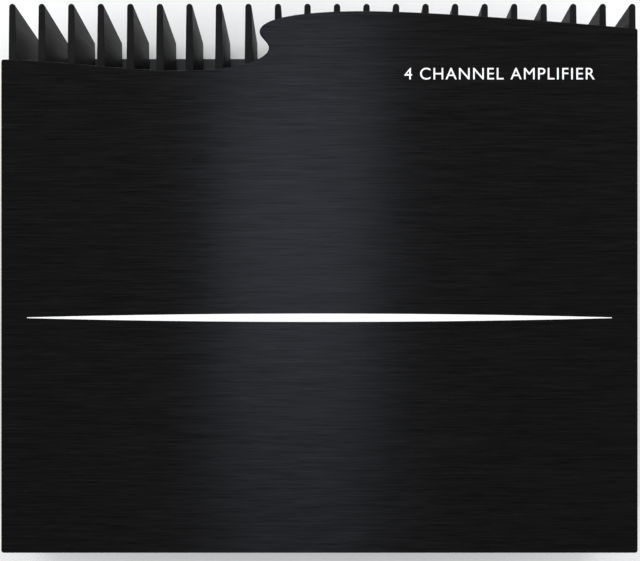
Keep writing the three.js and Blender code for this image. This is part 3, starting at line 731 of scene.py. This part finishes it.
def build_heatsink(name, turn):
    bm = plate([heatsink_outline()], sink_low.z, sink_high.z, 0.25)
    height = sink_high.z - sink_low.z
    boss_top = deck_low.z - GAP
    for vert in bm.verts:
        beyond = vert.co.y - WALL_OUT
        if beyond > 0:
            drop = TIP_DROP * (sink_high.z - vert.co.z) / height
            vert.co.y -= drop * beyond / (sink_high.y - WALL_OUT)
        if vert.co.y < WALL_IN - 0.3 and vert.co.z > boss_top:
            vert.co.z -= sink_high.z - boss_top
    placed(bm, Matrix.Rotation(turn, 4, "Z"))
    make_piece(f"{name}_fins", [(bm, EXTRUDED_BLACK)], "case", [name])


# ------------------------------------------------------------------ sheet metal
def build_deck():
    """Steel deck with four ears that hold the cover's studs, and its flush screws."""
    end, ear_x = PANEL_FACE - GAP, deck_high.x
    corner = [(end, STUD_Y - EAR_HALF), (ear_x, STUD_Y - EAR_HALF)]
    corner += [(ear_x, STUD_Y + EAR_HALF), (end, STUD_Y + EAR_HALF), (end, deck_high.y)]
    right = [(x, -y) for x, y in corner[::-1]] + corner
    outline = right + [(-x, -y) for x, y in right]
    holes = [circle(x * STUD_X, y * STUD_Y, 1.8) for x, y in CORNERS]
    sheet = plate([outline] + holes, deck_low.z, deck_high.z, 0.2, 2)
    places = [(x, side * SCREW_Y) for x in SCREW_XS for side in (-1, 1)]
    spots = [shift(x, y) for x, y in places]
    top = deck_high.z
    sheet = carved(sheet, [placed(sink_cutter(top), spot) for spot in spots], 0.03, 1)
    screws = joined([placed(flush_screw(top, 8), spot) for spot in spots])
    parts = [(sheet, DULL_ZINC), (screws, BLACK_STEEL)]
    make_piece("deck_sheet", parts, "case", ["inner_deck"])


def standoff(x, y):
    """A pressed-in hexagon spacer on the base plate, under the main board."""
    low, top = base_low.z + 0.5, base_high.z
    hexagon = plate([circle(0, 0, 3.2, 6, hole=False)], low, top, 0.25, 2)
    return placed(hexagon, shift(x * STANDOFF_X, y * STANDOFF_Y))


def underside_screw(x, y):
    """A button-head screw pointing up through the base plate."""
    down = Matrix.Translation((x, y, base_low.z)) @ Matrix.Rotation(math.pi, 4, "X")
    return placed(button_screw(8, 0), down)


def build_base():
    """Powder-coated bottom plate with its screws and the board's spacers."""
    outline = rounded_rectangle(base_low.x, base_high.x, base_low.y, base_high.y, 2)
    places = [(x, side * SCREW_Y) for x in SCREW_XS for side in (-1, 1)]
    holes = [circle(x, y, 2) for x, y in places]
    sheet = plate([outline] + holes, base_low.z, base_low.z + BASE_T, 0.25, 2)
    spacers = joined([standoff(x, y) for x, y in CORNERS])
    screws = joined([underside_screw(x, y) for x, y in places])
    parts = [(sheet, POWDER_BLACK), (spacers, ZINC), (screws, BLACK_STEEL)]
    make_piece("base_sheet", parts, "case", ["base_plate"])


def build_foot(number):
    """A mounting foot with a slot for the fixing screw and a hole round the case screw."""
    node = f"mounting_foot_{number + 1}"
    low, high = box(node)
    side, end = CORNERS[number]
    slot = (side * FOOT_SLOT["x"], end * FOOT_SLOT["y"], FOOT_SLOT["length"], FOOT_SLOT["width"])
    loops = [rounded_rectangle(low.x, high.x, low.y, high.y, 1.5)]
    loops += [slot_hole(*slot), circle(side * SCREW_XS[-1], end * SCREW_Y, 3.2)]
    sheet = plate(loops, low.z, high.z, 0.3)
    make_piece(f"{node}_sheet", [(sheet, POWDER_BLACK)], "case", [node])


# ------------------------------------------------------------------ connector panels
def place_on(sign, node):
    """A node's middle in a panel's own frame: across, up."""
    centre = middle(node)
    return sign * centre.y, centre.z


def window_round(sign, node):
    """Clockwise hole round a node that passes through a panel."""
    low, high = box(node)
    across = sorted((sign * low.y, sign * high.y))
    limits = (across[0] - CLEAR, across[1] + CLEAR, low.z - CLEAR, high.z + CLEAR)
    return rounded_rectangle(*limits, 0.5)[::-1]


def panel_sheet(sign, holes):
    outline = rounded_rectangle(-panel_high.y, panel_high.y, panel_low.z, panel_high.z, 0.4)
    return placed(plate([outline] + holes, -PANEL_T, 0, 0.2, 2), facing(sign))


def dial_marks(x, y):
    """Eleven ticks round a knob, over its turn of 300 degrees."""
    marks = []
    for i in range(11):
        a = math.radians(90 + 150 - 30 * i)
        long = 1.5 if i in (0, 5, 10) else 0.9
        ends = [(x + r * math.cos(a), y + r * math.sin(a)) for r in (6.3, 6.3 + long)]
        marks.append(dash(*ends, 0.32))
    return marks


def switch_marks(x, y):
    """Three dots over a switch, one for each place of its lever."""
    return [printed(circle(x + 2.3 * step, y + 3.4, 0.4, 12, hole=False)) for step in (-1, 0, 1)]


def light_bezel(x, y):
    profile = [(1.8, -0.2), (2.5, -0.2), (2.5, 0.25), (2.35, 0.45), (1.9, 0.45), (1.8, 0.35)]
    return placed(turned(profile, 28, ring=True), shift(x, y))


def build_signal_panel():
    jacks, knobs, levers, lights = (
        [place_on(-1, node) for node in nodes] for nodes in (JACKS, KNOBS, LEVERS, LIGHTS)
    )
    holes = [circle(x, y, 4.45, 36) for x, y in jacks]
    holes += [circle(x, y, 3.3, 28) for x, y in knobs]
    holes += [circle(x, y, 1.8, 20) for x, y in lights]
    holes += [rounded_rectangle(x - 4, x + 4, y - 1.8, y + 1.8, 0.5)[::-1] for x, y in levers]
    holes += [window_round(-1, "remote_jack")]
    bezels = placed(joined([light_bezel(x, y) for x, y in lights]), facing(-1))
    parts = [(panel_sheet(-1, holes), POWDER_BLACK), (bezels, MOULDED_BLACK)]
    make_piece("signal_panel_sheet", parts, "case", ["signal_panel"])

    marks = [mark for x, y in knobs for mark in dial_marks(x, y)]
    marks += [mark for x, y in levers for mark in switch_marks(x, y)]
    for number, (x, y) in enumerate(jacks):
        marks.append(lettering(str(number + 1), x + 6.2, None, y + 3, 2.2))
    ink = placed(joined(marks), facing(-1))
    make_piece("signal_panel_marks", [(ink, WHITE_INK)], "case")


def build_power_panel():
    nodes = ("power_terminal_block", "fuse_holder", "speaker_terminal_block")
    sheet = panel_sheet(1, [window_round(1, node) for node in nodes])
    make_piece("power_panel_sheet", [(sheet, POWDER_BLACK)], "case", ["power_panel"])

    clamps = [place_on(1, node)[0] for node in numbered("wire_clamp", 3)]
    marks = [plus_sign(clamps[0], 42, 4), dash((clamps[2] - 2, 42), (clamps[2] + 2, 42), 1)]
    marks.append(printed(circle(clamps[1], 42, 1.2, 20, hole=False)))
    for column, x in enumerate(SPEAKER_COLUMNS):
        marks.append(plus_sign(x, 50.4, 2) if column % 2 else dash((x - 1, 50.4), (x + 1, 50.4), 0.5))
    ink = placed(joined(marks), facing(1))
    make_piece("power_panel_marks", [(ink, WHITE_INK)], "case")


def build_panel_screws():
    for node in PANEL_SCREWS:
        sign = math.copysign(1, middle(node).x)
        screw = on_panel(button_screw(), sign, node)
        make_piece(f"{node}_head", [(screw, BLACK_STEEL)], "case", [node])


# ------------------------------------------------------------------ signal end
def jack_sleeve():
    """Gold sleeve with a washer, a hexagon nut and a rolled lip."""
    profile = [(3.45, -5.2), (4.15, -5.2), (4.15, GAP), (5.85, GAP), (6, 0.35), (6, 0.55), (5.85, 0.7)]
    profile += [(4.15, 0.7), (4.15, 2.7), (3.95, 2.9), (3.95, 3.3), (4.15, 3.5), (4.15, 9.5)]
    profile += [(4, 9.9), (3.8, 10), (3.6, 9.95), (3.45, 9.7)]
    nut = plate([circle(0, 0, 5.9, 6, hole=False), circle(0, 0, 4.12, 36)], 0.7, 1.9, 0.2, 2)
    return joined([turned(profile, 48, ring=True), nut])


def build_input_jacks():
    low, high = box("input_jack_housing")
    face = -low.x
    inside = PANEL_FACE - PANEL_T - GAP
    seats = [on_panel(cylinder(4.45, -6, 1), -1, node) for node in JACKS]
    shell = carved(block((-inside, high.x), (low.y, high.y), (low.z, high.z)), seats, 0.5)
    end = face - PANEL_FACE
    post = [(1.6, -8), (3, -8), (3, end - 0.3), (2.7, end), (1.9, end), (1.6, end - 0.25)]
    contact = [(1.2, -7.9), (1.55, -7.9), (1.55, end - 0.6), (1.2, end - 0.9)]
    posts = {WHITE_RING: [], RED_RING: []}
    for node in JACKS:
        upper = middle(node).z > middle("input_jack_housing").z
        posts[WHITE_RING if upper else RED_RING].append(on_panel(turned(post, 32, ring=True), -1, node))
    contacts = joined([on_panel(turned(contact, 24, ring=True), -1, node) for node in JACKS])
    parts = [(shell, MOULDED_BLACK), (contacts, GOLD)]
    parts += [(joined(group), material) for material, group in posts.items()]
    make_piece("input_jack_block", parts, "case", ["input_jack_housing"])
    for node in JACKS:
        sleeve = on_panel(jack_sleeve(), -1, node)
        make_piece(f"{node}_sleeve", [(sleeve, GOLD)], "case", [node])


def build_remote_jack():
    """Six-way socket with a latch slot and gold contacts."""
    low, high = box("remote_jack")
    x = place_on(-1, "remote_jack")[0]
    face = -low.x - PANEL_FACE
    floor = low.z + 1.6
    depth = (face - 10, face + 1)
    opening = block(about(x, 5), (floor, floor + 7), depth)
    latch = block(about(x, 1.9), (floor + 6, floor + 9), depth)
    width = (high.y - low.y) / 2
    body = block(about(x, width), (low.z, high.z), (-PANEL_FACE - high.x, face))
    body = carved(body, [opening, latch], 0.3)
    contact_z = (floor + 0.1, floor + 1.4)
    wires = [block(about(x + 1.27 * (i - 2.5), 0.25), contact_z, (-8, -1)) for i in range(6)]
    parts = [(placed(body, facing(-1)), MOULDED_BLACK), (placed(joined(wires), facing(-1)), GOLD)]
    make_piece("remote_jack_socket", parts, "case", ["remote_jack"])


def fluted(radius, depth, flutes, points_each=8):
    """Anticlockwise circle with shallow grooves all round."""
    count = flutes * points_each
    angles = [2 * math.pi * i / count for i in range(count)]
    radii = [radius - depth * (0.5 + 0.5 * math.cos(flutes * a)) ** 3 for a in angles]
    return [(r * math.cos(a), r * math.sin(a)) for r, a in zip(radii, angles)]


def build_knob(number):
    """A fluted knob on a skirt, with a white pointer that points up at rest."""
    node = f"control_knob_{number}"
    shaft = cylinder(3, -PANEL_T - 3.2, 0.6)
    skirt = [(0, 0.5), (5.3, 0.5), (5.6, 0.8), (5.6, 1.3), (5.3, 1.65), (4.6, 1.9), (0, 1.9)]
    grip = plate([fluted(4.6, 0.35, 20)], 1.8, 8.5, 0.5, 4)
    for vert in grip.verts:
        narrowing = 1 - 0.06 * (vert.co.z - 1.8) / 6.7
        vert.co.x *= narrowing
        vert.co.y *= narrowing
    dish = [(0, 8.2), (2.9, 8.45), (3.1, 8.6), (3.1, 9), (0, 9)]
    grip = carved(grip, [turned(dish, 40)], 0.04, 1)
    pointer = joined([block((-0.4, 0.4), (1.2, 4.15), (8.2, 8.58)), block((-0.4, 0.4), (4, 4.4), (3, 8.2))])
    parts = [(joined([shaft, turned(skirt, 48), grip]), KNOB_BLACK), (pointer, WHITE_INK)]
    placed_parts = [(on_panel(part, -1, node), material) for part, material in parts]
    make_piece(f"{node}_grip", placed_parts, f"knob_{number}", [node])


def build_pot(number):
    """The potentiometer behind a knob: a moulded body with a plated ring round its bore at the front."""
    node = f"control_pot_{number}"
    inner, outer = -PANEL_T - GAP - 6, -PANEL_T - GAP
    bore = cylinder(3.3, outer - 3.5, outer + 1)
    body = carved(block((-5, 5), (-5.5, 5.5), (inner, outer)), [bore], 0.4)
    rim = turned([(3.35, outer - 0.6), (4.3, outer - 0.6), (4.3, outer), (3.35, outer)], 32, ring=True)
    parts = [(on_panel(body, -1, node), EPOXY), (on_panel(rim, -1, node), ZINC)]
    make_piece(f"{node}_body", parts, "case", [node])


def build_switches():
    low, high = box("switch_housing")
    pockets = []
    for node in LEVERS:
        centre = middle(node)
        ys, zs = about(centre.y, 1.8 + 2.4 + CLEAR), about(centre.z, 1.6 + CLEAR)
        pockets.append(block((low.x - 1, low.x + 3), ys, zs))
    shell = carved(whole_block("switch_housing"), pockets, 0.3)
    make_piece("switch_shell", [(shell, ZINC)], "case", ["switch_housing"])
    for number, node in enumerate(LEVERS):
        grooves = [block(about(x, 0.18), (-2, 2), (3.2, 4)) for x in (-0.75, 0, 0.75)]
        stem = carved(block((-1.3, 1.3), (-1.3, 1.3), (-3, 3.6)), grooves, 0.14)
        slider = carved(block((-1.8, 1.8), (-1.6, 1.6), (-4.9, -2.2)), (), 0.15)
        lever = on_panel(joined([stem, slider]), -1, node)
        make_piece(f"{node}_stem", [(lever, WHITE_RING)], f"lever_{number + 1}", [node])


def build_lights():
    profile = [(0, -8), (1.5, -8), (1.5, 0.5)] + arc((0, 0.5), (1.5, 1.5), 6, 84, 8) + [(0, 2)]
    for node in LIGHTS:
        lens = on_panel(turned(profile, 28), -1, node)
        make_piece(f"{node}_lens", [(lens, BLUE_LIGHT)], "case", [node])


# ------------------------------------------------------------------ power end
SPEAKER_COLUMNS = (25, 35, 45, 55)
SPEAKER_ROWS = (14.5, 34)
WIRE_Z = 19.5


def build_power_block():
    """Moulded housing whose pockets are open at the face and, for the screws, at the top."""
    low, high = box("power_terminal_block")
    cuts = []
    for node in numbered("wire_clamp", 3):
        clamp_low, clamp_high = box(node)
        ys, zs = (clamp_low.y - CLEAR, clamp_high.y + CLEAR), (clamp_low.z - CLEAR, clamp_high.z + CLEAR)
        cuts.append(block((clamp_low.x - CLEAR, high.x + 1), ys, zs))
        screw = middle(node.replace("wire_clamp", "clamp_screw"))
        well = cylinder(4.5, clamp_high.z - 1, high.z + 1)
        cuts.append(placed(well, shift(screw.x, screw.y)))
    parts = [(carved(whole_block("power_terminal_block"), cuts, 0.45, 3), MOULDED_BLACK)]
    make_piece("power_block_housing", parts, "case", ["power_terminal_block"])


def wire_entry(radius, mouth, depth, lead, face, sides):
    """Cutter for a round hole with a countersunk mouth in a face at the given height."""
    profile = [(0, face - depth), (radius, face - depth), (radius, face - lead)]
    profile += [(mouth, face + 0.1), (mouth, face + 1), (0, face + 1)]
    return turned(profile, sides)


def build_clamp(number):
    """A brass clamp with a countersunk wire entry."""
    node = f"wire_clamp_{number}"
    low, high = box(node)
    face = high.x - PANEL_FACE
    x = middle(node).y
    wire = placed(wire_entry(4.2, 5, 18, 0.7, face, 40), shift(x, WIRE_Z))
    body = block(about(x, 6), (low.z, high.z), (low.x - PANEL_FACE, face))
    screw = middle(f"clamp_screw_{number}")
    hole = placed(cylinder(3.8, WIRE_Z + 1, high.z + 1), shift(screw.x, screw.y))
    clamp = carved(body, [wire, placed(hole, facing(1).inverted())], 0.3)
    make_piece(f"{node}_body", [(placed(clamp, facing(1)), BRASS)], "case", [node])


def build_clamp_screw(number):
    """A set screw with a ring for each turn of its thread and a hexagon socket."""
    node = f"clamp_screw_{number}"
    low, high = box(node)
    pitch = 0.8
    profile = [(0, low.z), (2.6, low.z), (3.2, low.z + 0.5)]
    turns = int((high.z - low.z - 2) / pitch)
    for i in range(turns):
        z = low.z + 0.7 + i * pitch
        profile += [(3.5, z), (3.5, z + 0.15), (3.1, z + 0.45), (3.1, z + 0.55)]
    profile += [(3.5, high.z - 1.1), (3.5, high.z - 0.3), (3.2, high.z), (0, high.z)]
    screw = carved(turned(profile, 36), [hex_socket(2, high.z - 4, high.z + 1)], 0.05, 1)
    centre = middle(node)
    placed(screw, shift(centre.x, centre.y))
    make_piece(f"{node}_threaded", [(screw, ZINC)], f"terminal_screw_{number}", [node])


FUSE_BODY_IN = -0.5  # along the panel's normal: the fuse's body, its blades and the holder's face
FUSE_BODY_OUT = 11.5
FUSE_BLADE_IN = -8
BLADE_Y = 6.6  # from the fuse's middle to each blade
HOLDER_OUT = 2.5


def build_fuse_holder():
    low, high = box("fuse_holder")
    cuts = []
    for node in numbered("blade_fuse", 2):
        x, y = place_on(1, node)
        cuts.append(block(about(x, 2.9), about(y, 9.9), (FUSE_BODY_IN - CLEAR, HOLDER_OUT + 1)))
        for side in (-1, 1):
            blade = (FUSE_BLADE_IN - CLEAR, FUSE_BODY_IN + 1)
            cuts.append(block(about(x, 0.7), about(y + side * BLADE_Y, 2.9), blade))
    body = block((low.y, high.y), (low.z, high.z), (low.x - PANEL_FACE, HOLDER_OUT))
    holder = placed(carved(body, cuts, 0.35, 2), facing(1))
    make_piece("fuse_holder_body", [(holder, MOULDED_BLACK)], "case", ["fuse_holder"])


def build_fuse(number):
    """A large blade fuse with finger grips and its rating on the outer end."""
    node = f"blade_fuse_{number}"
    grip_depth = (FUSE_BODY_OUT - 3, FUSE_BODY_OUT + 1)
    grips = [block(about(side * 2.6, 0.7), (-4.5, 4.5), grip_depth) for side in (-1, 1)]
    window = [block(about(side * 2.6, 0.3), about(0, 6.5), (2.8, 7)) for side in (-1, 1)]
    body = carved(block((-2.6, 2.6), (-9.6, 9.6), (FUSE_BODY_IN, FUSE_BODY_OUT)), grips + window, 0.4, 3)
    tips = [block((-0.4, 0.4), about(side * BLADE_Y, 2.6), (FUSE_BLADE_IN, 0)) for side in (-1, 1)]
    blades = joined([carved(tip, (), 0.1) for tip in tips])
    rating = lettering("40", -2.2, 2.2, -1.1, 2.2, FUSE_BODY_OUT)
    placed(rating, Matrix.Rotation(math.pi / 2, 4, "Z"))
    parts = [(body, FUSE_ORANGE), (blades, ZINC), (rating, WHITE_INK)]
    placed_parts = [(on_panel(part, 1, node), material) for part, material in parts]
    make_piece(f"{node}_body", placed_parts, f"fuse_{number}", [node])


def speaker_screw():
    """A slotted screw sunk into the block's face, along +Z with its head at 0."""
    head = turned([(0, -2), (2.8, -2), (2.8, -0.25), (2.55, 0), (0, 0)], 28)
    return carved(head, [block((-3, 3), (-0.35, 0.35), (-0.8, 1))], 0.08, 1)


def build_speaker_block():
    """Two rows of wire entries, each with its clamping screw above it."""
    low, high = box("speaker_terminal_block")
    face = high.x - PANEL_FACE
    cuts = [block((low.y - 1, high.y + 1), (26.5, 29), (face - 2.5, face + 1))]
    cuts += [block(about(x, 0.5), (low.z - 1, high.z + 1), (face - 1, face + 1)) for x in (30, 40, 50)]
    screws = []
    for x in SPEAKER_COLUMNS:
        for y in SPEAKER_ROWS:
            cuts.append(placed(wire_entry(1.95, 2.6, 12, 0.6, face, 28), shift(x, y)))
            recess = cylinder(3.1, face - 2.2, face + 1, 28)
            cuts.append(placed(recess, Matrix.Translation((x, y + 8, 0))))
            screws.append(placed(speaker_screw(), Matrix.Translation((x, y + 8, face - 0.3))))
    body = carved(block((low.y, high.y), (low.z, high.z), (low.x - PANEL_FACE, face)), cuts, 0.25)
    parts = [(placed(body, facing(1)), MOULDED_BLACK), (placed(joined(screws), facing(1)), ZINC)]
    make_piece("speaker_block_body", parts, "case", ["speaker_terminal_block"])


# ------------------------------------------------------------------ electronics
def build_boards():
    low, high = box("main_board")
    holes = [circle(x * STANDOFF_X, y * STANDOFF_Y, 1.6) for x, y in CORNERS]
    outline = rounded_rectangle(low.x, high.x, low.y, high.y, 1)
    main = plate([outline] + holes, low.z, high.z, 0.1, 1)
    make_piece("main_board_laminate", [(main, BOARD_GREEN)], "case", ["main_board"])
    upright = carved(whole_block("control_board"), (), 0.1, 1)
    parts = [(upright, BOARD_GREEN)]
    make_piece("control_board_laminate", parts, "case", ["control_board"])


def chip(x, y, low):
    """A flat moulded circuit with a row of legs down each side."""
    body = placed(carved(block((-5, 5), (-3.2, 3.2), (0.4, 2.6)), (), 0.25), shift(x, y, low))
    legs = [
        block(about(x + 1.27 * (i - 3), 0.22), about(y + side * 4, 0.9), (low, low + 1.2))
        for i in range(7)
        for side in (-1, 1)
    ]
    return body, legs


def resistor(x, y, low):
    """A small wire-ended resistor lying along Y."""
    shape = [(0, 0), (1, 0.2), (1.25, 0.8), (1.05, 1.6), (1.05, 4.6), (1.25, 5.4), (1, 6), (0, 6.2)]
    lie = Matrix.Translation((x, y - 3.1, low + 1.4)) @ Matrix.Rotation(-math.pi / 2, 4, "X")
    wire = placed(cylinder(0.3, -2.4, 8.6, 10), lie)
    feet = [block(about(x, 0.3), about(y + side * 5.2, 0.3), (low, low + 1.6)) for side in (-1, 1)]
    return placed(turned(shape, 20), lie), [wire, *feet]


def build_board_parts():
    """Small parts soldered to the main board in rows."""
    low = box("main_board")[1].z
    chips = [chip(x, y, low) for x in (-78, -60) for y in (-40, -22)]
    resistors = [resistor(-84 + 6 * i, y, low) for i in range(9) for y in (-8, 8)]
    bodies = joined([body for body, _ in chips])
    beads = joined([body for body, _ in resistors])
    metal = joined([leg for _, legs in chips + resistors for leg in legs])
    parts = [(bodies, EPOXY), (beads, RESISTOR_BLUE), (metal, ZINC)]
    make_piece("main_board_parts", parts, "case")


def wire_loop(outer, inner, height, gauge, sides=6, corners=5):
    """One turn of round wire about a ring core's section, in the X-Z plane."""
    path = []
    radius = 3 - gauge
    limits = (inner + gauge, outer - gauge, gauge, height - gauge)
    for x, z in rounded_rectangle(*limits, radius, corners):
        path.append(Vector((x, 0, z)))
    bm = bmesh.new()
    rows = []
    for i, here in enumerate(path):
        along = (path[(i + 1) % len(path)] - path[i - 1]).normalized()
        outward = along.cross(Vector((0, 1, 0)))
        row = []
        for k in range(sides):
            a = 2 * math.pi * k / sides
            spoke = math.cos(a) * outward + math.sin(a) * Vector((0, 1, 0))
            row.append(bm.verts.new(here + gauge * spoke))
        rows.append(row)
    for i in range(len(rows)):
        for k in range(sides):
            bm.faces.new((rows[i - 1][k - 1], rows[i - 1][k], rows[i][k], rows[i][k - 1]))
    return bm


def build_toroid(node, outer, inner, turns, gauge):
    """A ring core under side-by-side turns of enamelled wire."""
    low, high = box(node)
    height = high.z - low.z
    limits = (inner + 1.5 * gauge, outer - 1.5 * gauge, 1.5 * gauge, height - 1.5 * gauge)
    core = turned(rounded_rectangle(*limits, 2), 48, ring=True)
    first = wire_loop(outer, inner, height, gauge)
    wires = bmesh.new()
    for i in range(turns):
        merge(wires, placed(first.copy(), Matrix.Rotation(2 * math.pi * i / turns, 4, "Z")))
    first.free()
    parts = [(standing_at(core, node), EPOXY), (standing_at(wires, node), COPPER_WIRE)]
    make_piece(f"{node}_winding", parts, "case", [node])


def build_capacitors():
    """Cans in shrink sleeve with a crimped rim and a scored vent."""
    for node in numbered("storage_capacitor", 4):
        low, high = box(node)
        height = high.z - low.z
        sleeve = [(0, 0), (8.6, 0), (9, 0.4), (9, 2.2), (8.6, 2.8), (8.6, 3.4), (9, 4)]
        sleeve += [(9, height - 1)] + arc((8, height - 1), (1, 1), 0, 90, 5)
        sleeve += [(7.4, height), (7.3, height - 0.5), (0, height - 0.5)]
        top = turned([(0, height - 0.6), (7.2, height - 0.6), (7.2, height - 0.25), (0, height - 0.25)], 40)
        top = carved(top, cross_recess(5.5, 0.4, height - 0.4, height + 1), 0.05, 1)
        parts = [(standing_at(turned(sleeve, 40), node), SLEEVE_BLUE), (standing_at(top, node), ALUMINIUM)]
        make_piece(f"{node}_can", parts, "case", [node])


def build_power_device(number):
    """A moulded power device with a heat tab, a screw hole and three cranked legs."""
    node = f"power_device_{number}"
    low, high = box(node)
    side = math.copysign(1, middle(node).y)
    wall = max(abs(low.y), abs(high.y))
    foot, bend_z = 67, 15.2  # where the legs meet the board, and where they bend down to it
    body_low, body_top, hole_z = 20, 41, 37
    leg_out = wall - 2.2
    body = block((-7.8, 7.8), (wall - 5, wall - 0.8), (body_low, body_top))
    aim = shift(0, wall, hole_z) @ Matrix.Rotation(math.pi / 2, 4, "X")
    hole = placed(cylinder(1.8, -10, 10), aim)
    body = carved(body, [hole], 0.35)
    tab = carved(block((-7.2, 7.2), (wall - 1, wall), (body_low + 1, body_top)), (), 0.15, 1)
    legs = []
    for x in (-5.4, 0, 5.4):
        xs = about(x, 0.6)
        legs.append(block(xs, (leg_out - 0.8, leg_out), (bend_z, body_low + 0.5)))
        legs.append(block(xs, (foot, leg_out), (bend_z, bend_z + 0.8)))
        legs.append(block(xs, (foot, foot + 0.8), (low.z, bend_z + 0.8)))
    turn = Matrix.Rotation(0 if side > 0 else math.pi, 4, "Z")
    where = Matrix.Translation((middle(node).x, 0, 0)) @ turn
    metal = joined([tab, *legs])
    parts = [(placed(body, where), EPOXY), (placed(metal, where), ZINC)]
    make_piece(f"{node}_package", parts, "case", [node])


def build_device_clamps():
    """Steel bars that press the power devices to the heatsinks, each with its middle screw."""
    for node in ("device_clamp_rear", "device_clamp_front"):
        low, high = box(node)
        side = math.copysign(1, low.y)
        face = min(abs(low.y), abs(high.y))
        pressed = carved(whole_block(node), (), 0.25)
        aim = Matrix.Rotation(side * math.pi / 2, 4, "X")
        where = Matrix.Translation((middle(node).x, side * face, 30)) @ aim
        screw = placed(button_screw(6, 0), where)
        make_piece(f"{node}_bar", [(pressed, ZINC), (screw, BLACK_STEEL)], "case", [node])


# ------------------------------------------------------------------ everything in place
def build_amplifier():
    build_cover()
    build_stripe()
    build_cover_words()
    build_heatsink("rear_heatsink", 0)
    build_heatsink("front_heatsink", math.pi)
    build_deck()
    build_base()
    build_signal_panel()
    build_power_panel()
    build_panel_screws()
    build_input_jacks()
    build_remote_jack()
    build_switches()
    build_lights()
    build_power_block()
    build_fuse_holder()
    build_speaker_block()
    build_boards()
    build_board_parts()
    build_toroid("power_transformer", 25, 9, 64, 0.6)
    build_toroid("output_choke", 14, 5, 34, 0.6)
    build_capacitors()
    build_device_clamps()
    for number in range(4):
        build_foot(number)
    for number in (1, 2, 3, 4):
        build_knob(number)
        build_pot(number)
        build_power_device(number)
    for number in (1, 2, 3):
        build_clamp(number)
        build_clamp_screw(number)
    for number in (1, 2):
        build_fuse(number)


build_amplifier()


# ------------------------------------------------------------------ stage, light and camera
def build_floor():
    bm = bmesh.new()
    bmesh.ops.create_grid(bm, x_segments=2, y_segments=2, size=6)
    mesh = bpy.data.meshes.new("floor")
    bm.to_mesh(mesh)
    bm.free()
    floor = bpy.data.objects.new("floor", mesh)
    floor.location.z = -0.1 * MM
    bpy.context.scene.collection.objects.link(floor)
    mesh.materials.append(moulded("pale_floor", (0.86, 0.86, 0.86), (0.88, 0.88, 0.88), 0.8, 20, 0.01))


def soft_box(name, place, target, size, power, colour=(1, 1, 1)):
    data = bpy.data.lights.new(name, "AREA")
    data.shape = "RECTANGLE"
    data.size, data.size_y = size
    data.energy = power
    data.color = colour
    lamp = bpy.data.objects.new(name, data)
    lamp.location = place
    direction = Vector(target) - Vector(place)
    lamp.rotation_euler = direction.to_track_quat("-Z", "Y").to_euler()
    bpy.context.scene.collection.objects.link(lamp)


def light_scene():
    world = bpy.data.worlds.new("studio")
    bpy.context.scene.world = world
    world.use_nodes = True
    background = world.node_tree.nodes["Background"]
    background.inputs["Color"].default_value = (1, 1, 1, 1)
    background.inputs["Strength"].default_value = 0.55
    soft_box("overhead", (-0.04, 0.13, 1.8), (-0.04, 0.13, 0), (0.28, 0.56), 2.75, (0.74, 0.83, 1))
    soft_box("rear", (0, 1.6, 1.0), (0, 0, 0), (2.2, 1.0), 30)
    soft_box("left", (-1.7, 0, 1.1), (0, 0, 0), (1.2, 1.6), 12)
    soft_box("right", (1.7, 0, 1.1), (0, 0, 0), (1.2, 1.6), 12)


def place_camera():
    """Straight above the cover, at the height that gives the photograph's perspective."""
    lens, height = 72.82, 549
    right, front = 0.23, 1.21  # how far the camera is off the middle of the cover
    data = bpy.data.cameras.new("camera")
    data.sensor_width = 36
    data.lens = lens
    camera = bpy.data.objects.new("camera", data)
    camera.location = (right * MM, -front * MM, (COVER_TOP + height) * MM)
    bpy.context.scene.collection.objects.link(camera)
    bpy.context.scene.camera = camera


build_floor()
light_scene()
place_camera()
bpy.context.scene.view_settings.view_transform = "Standard"
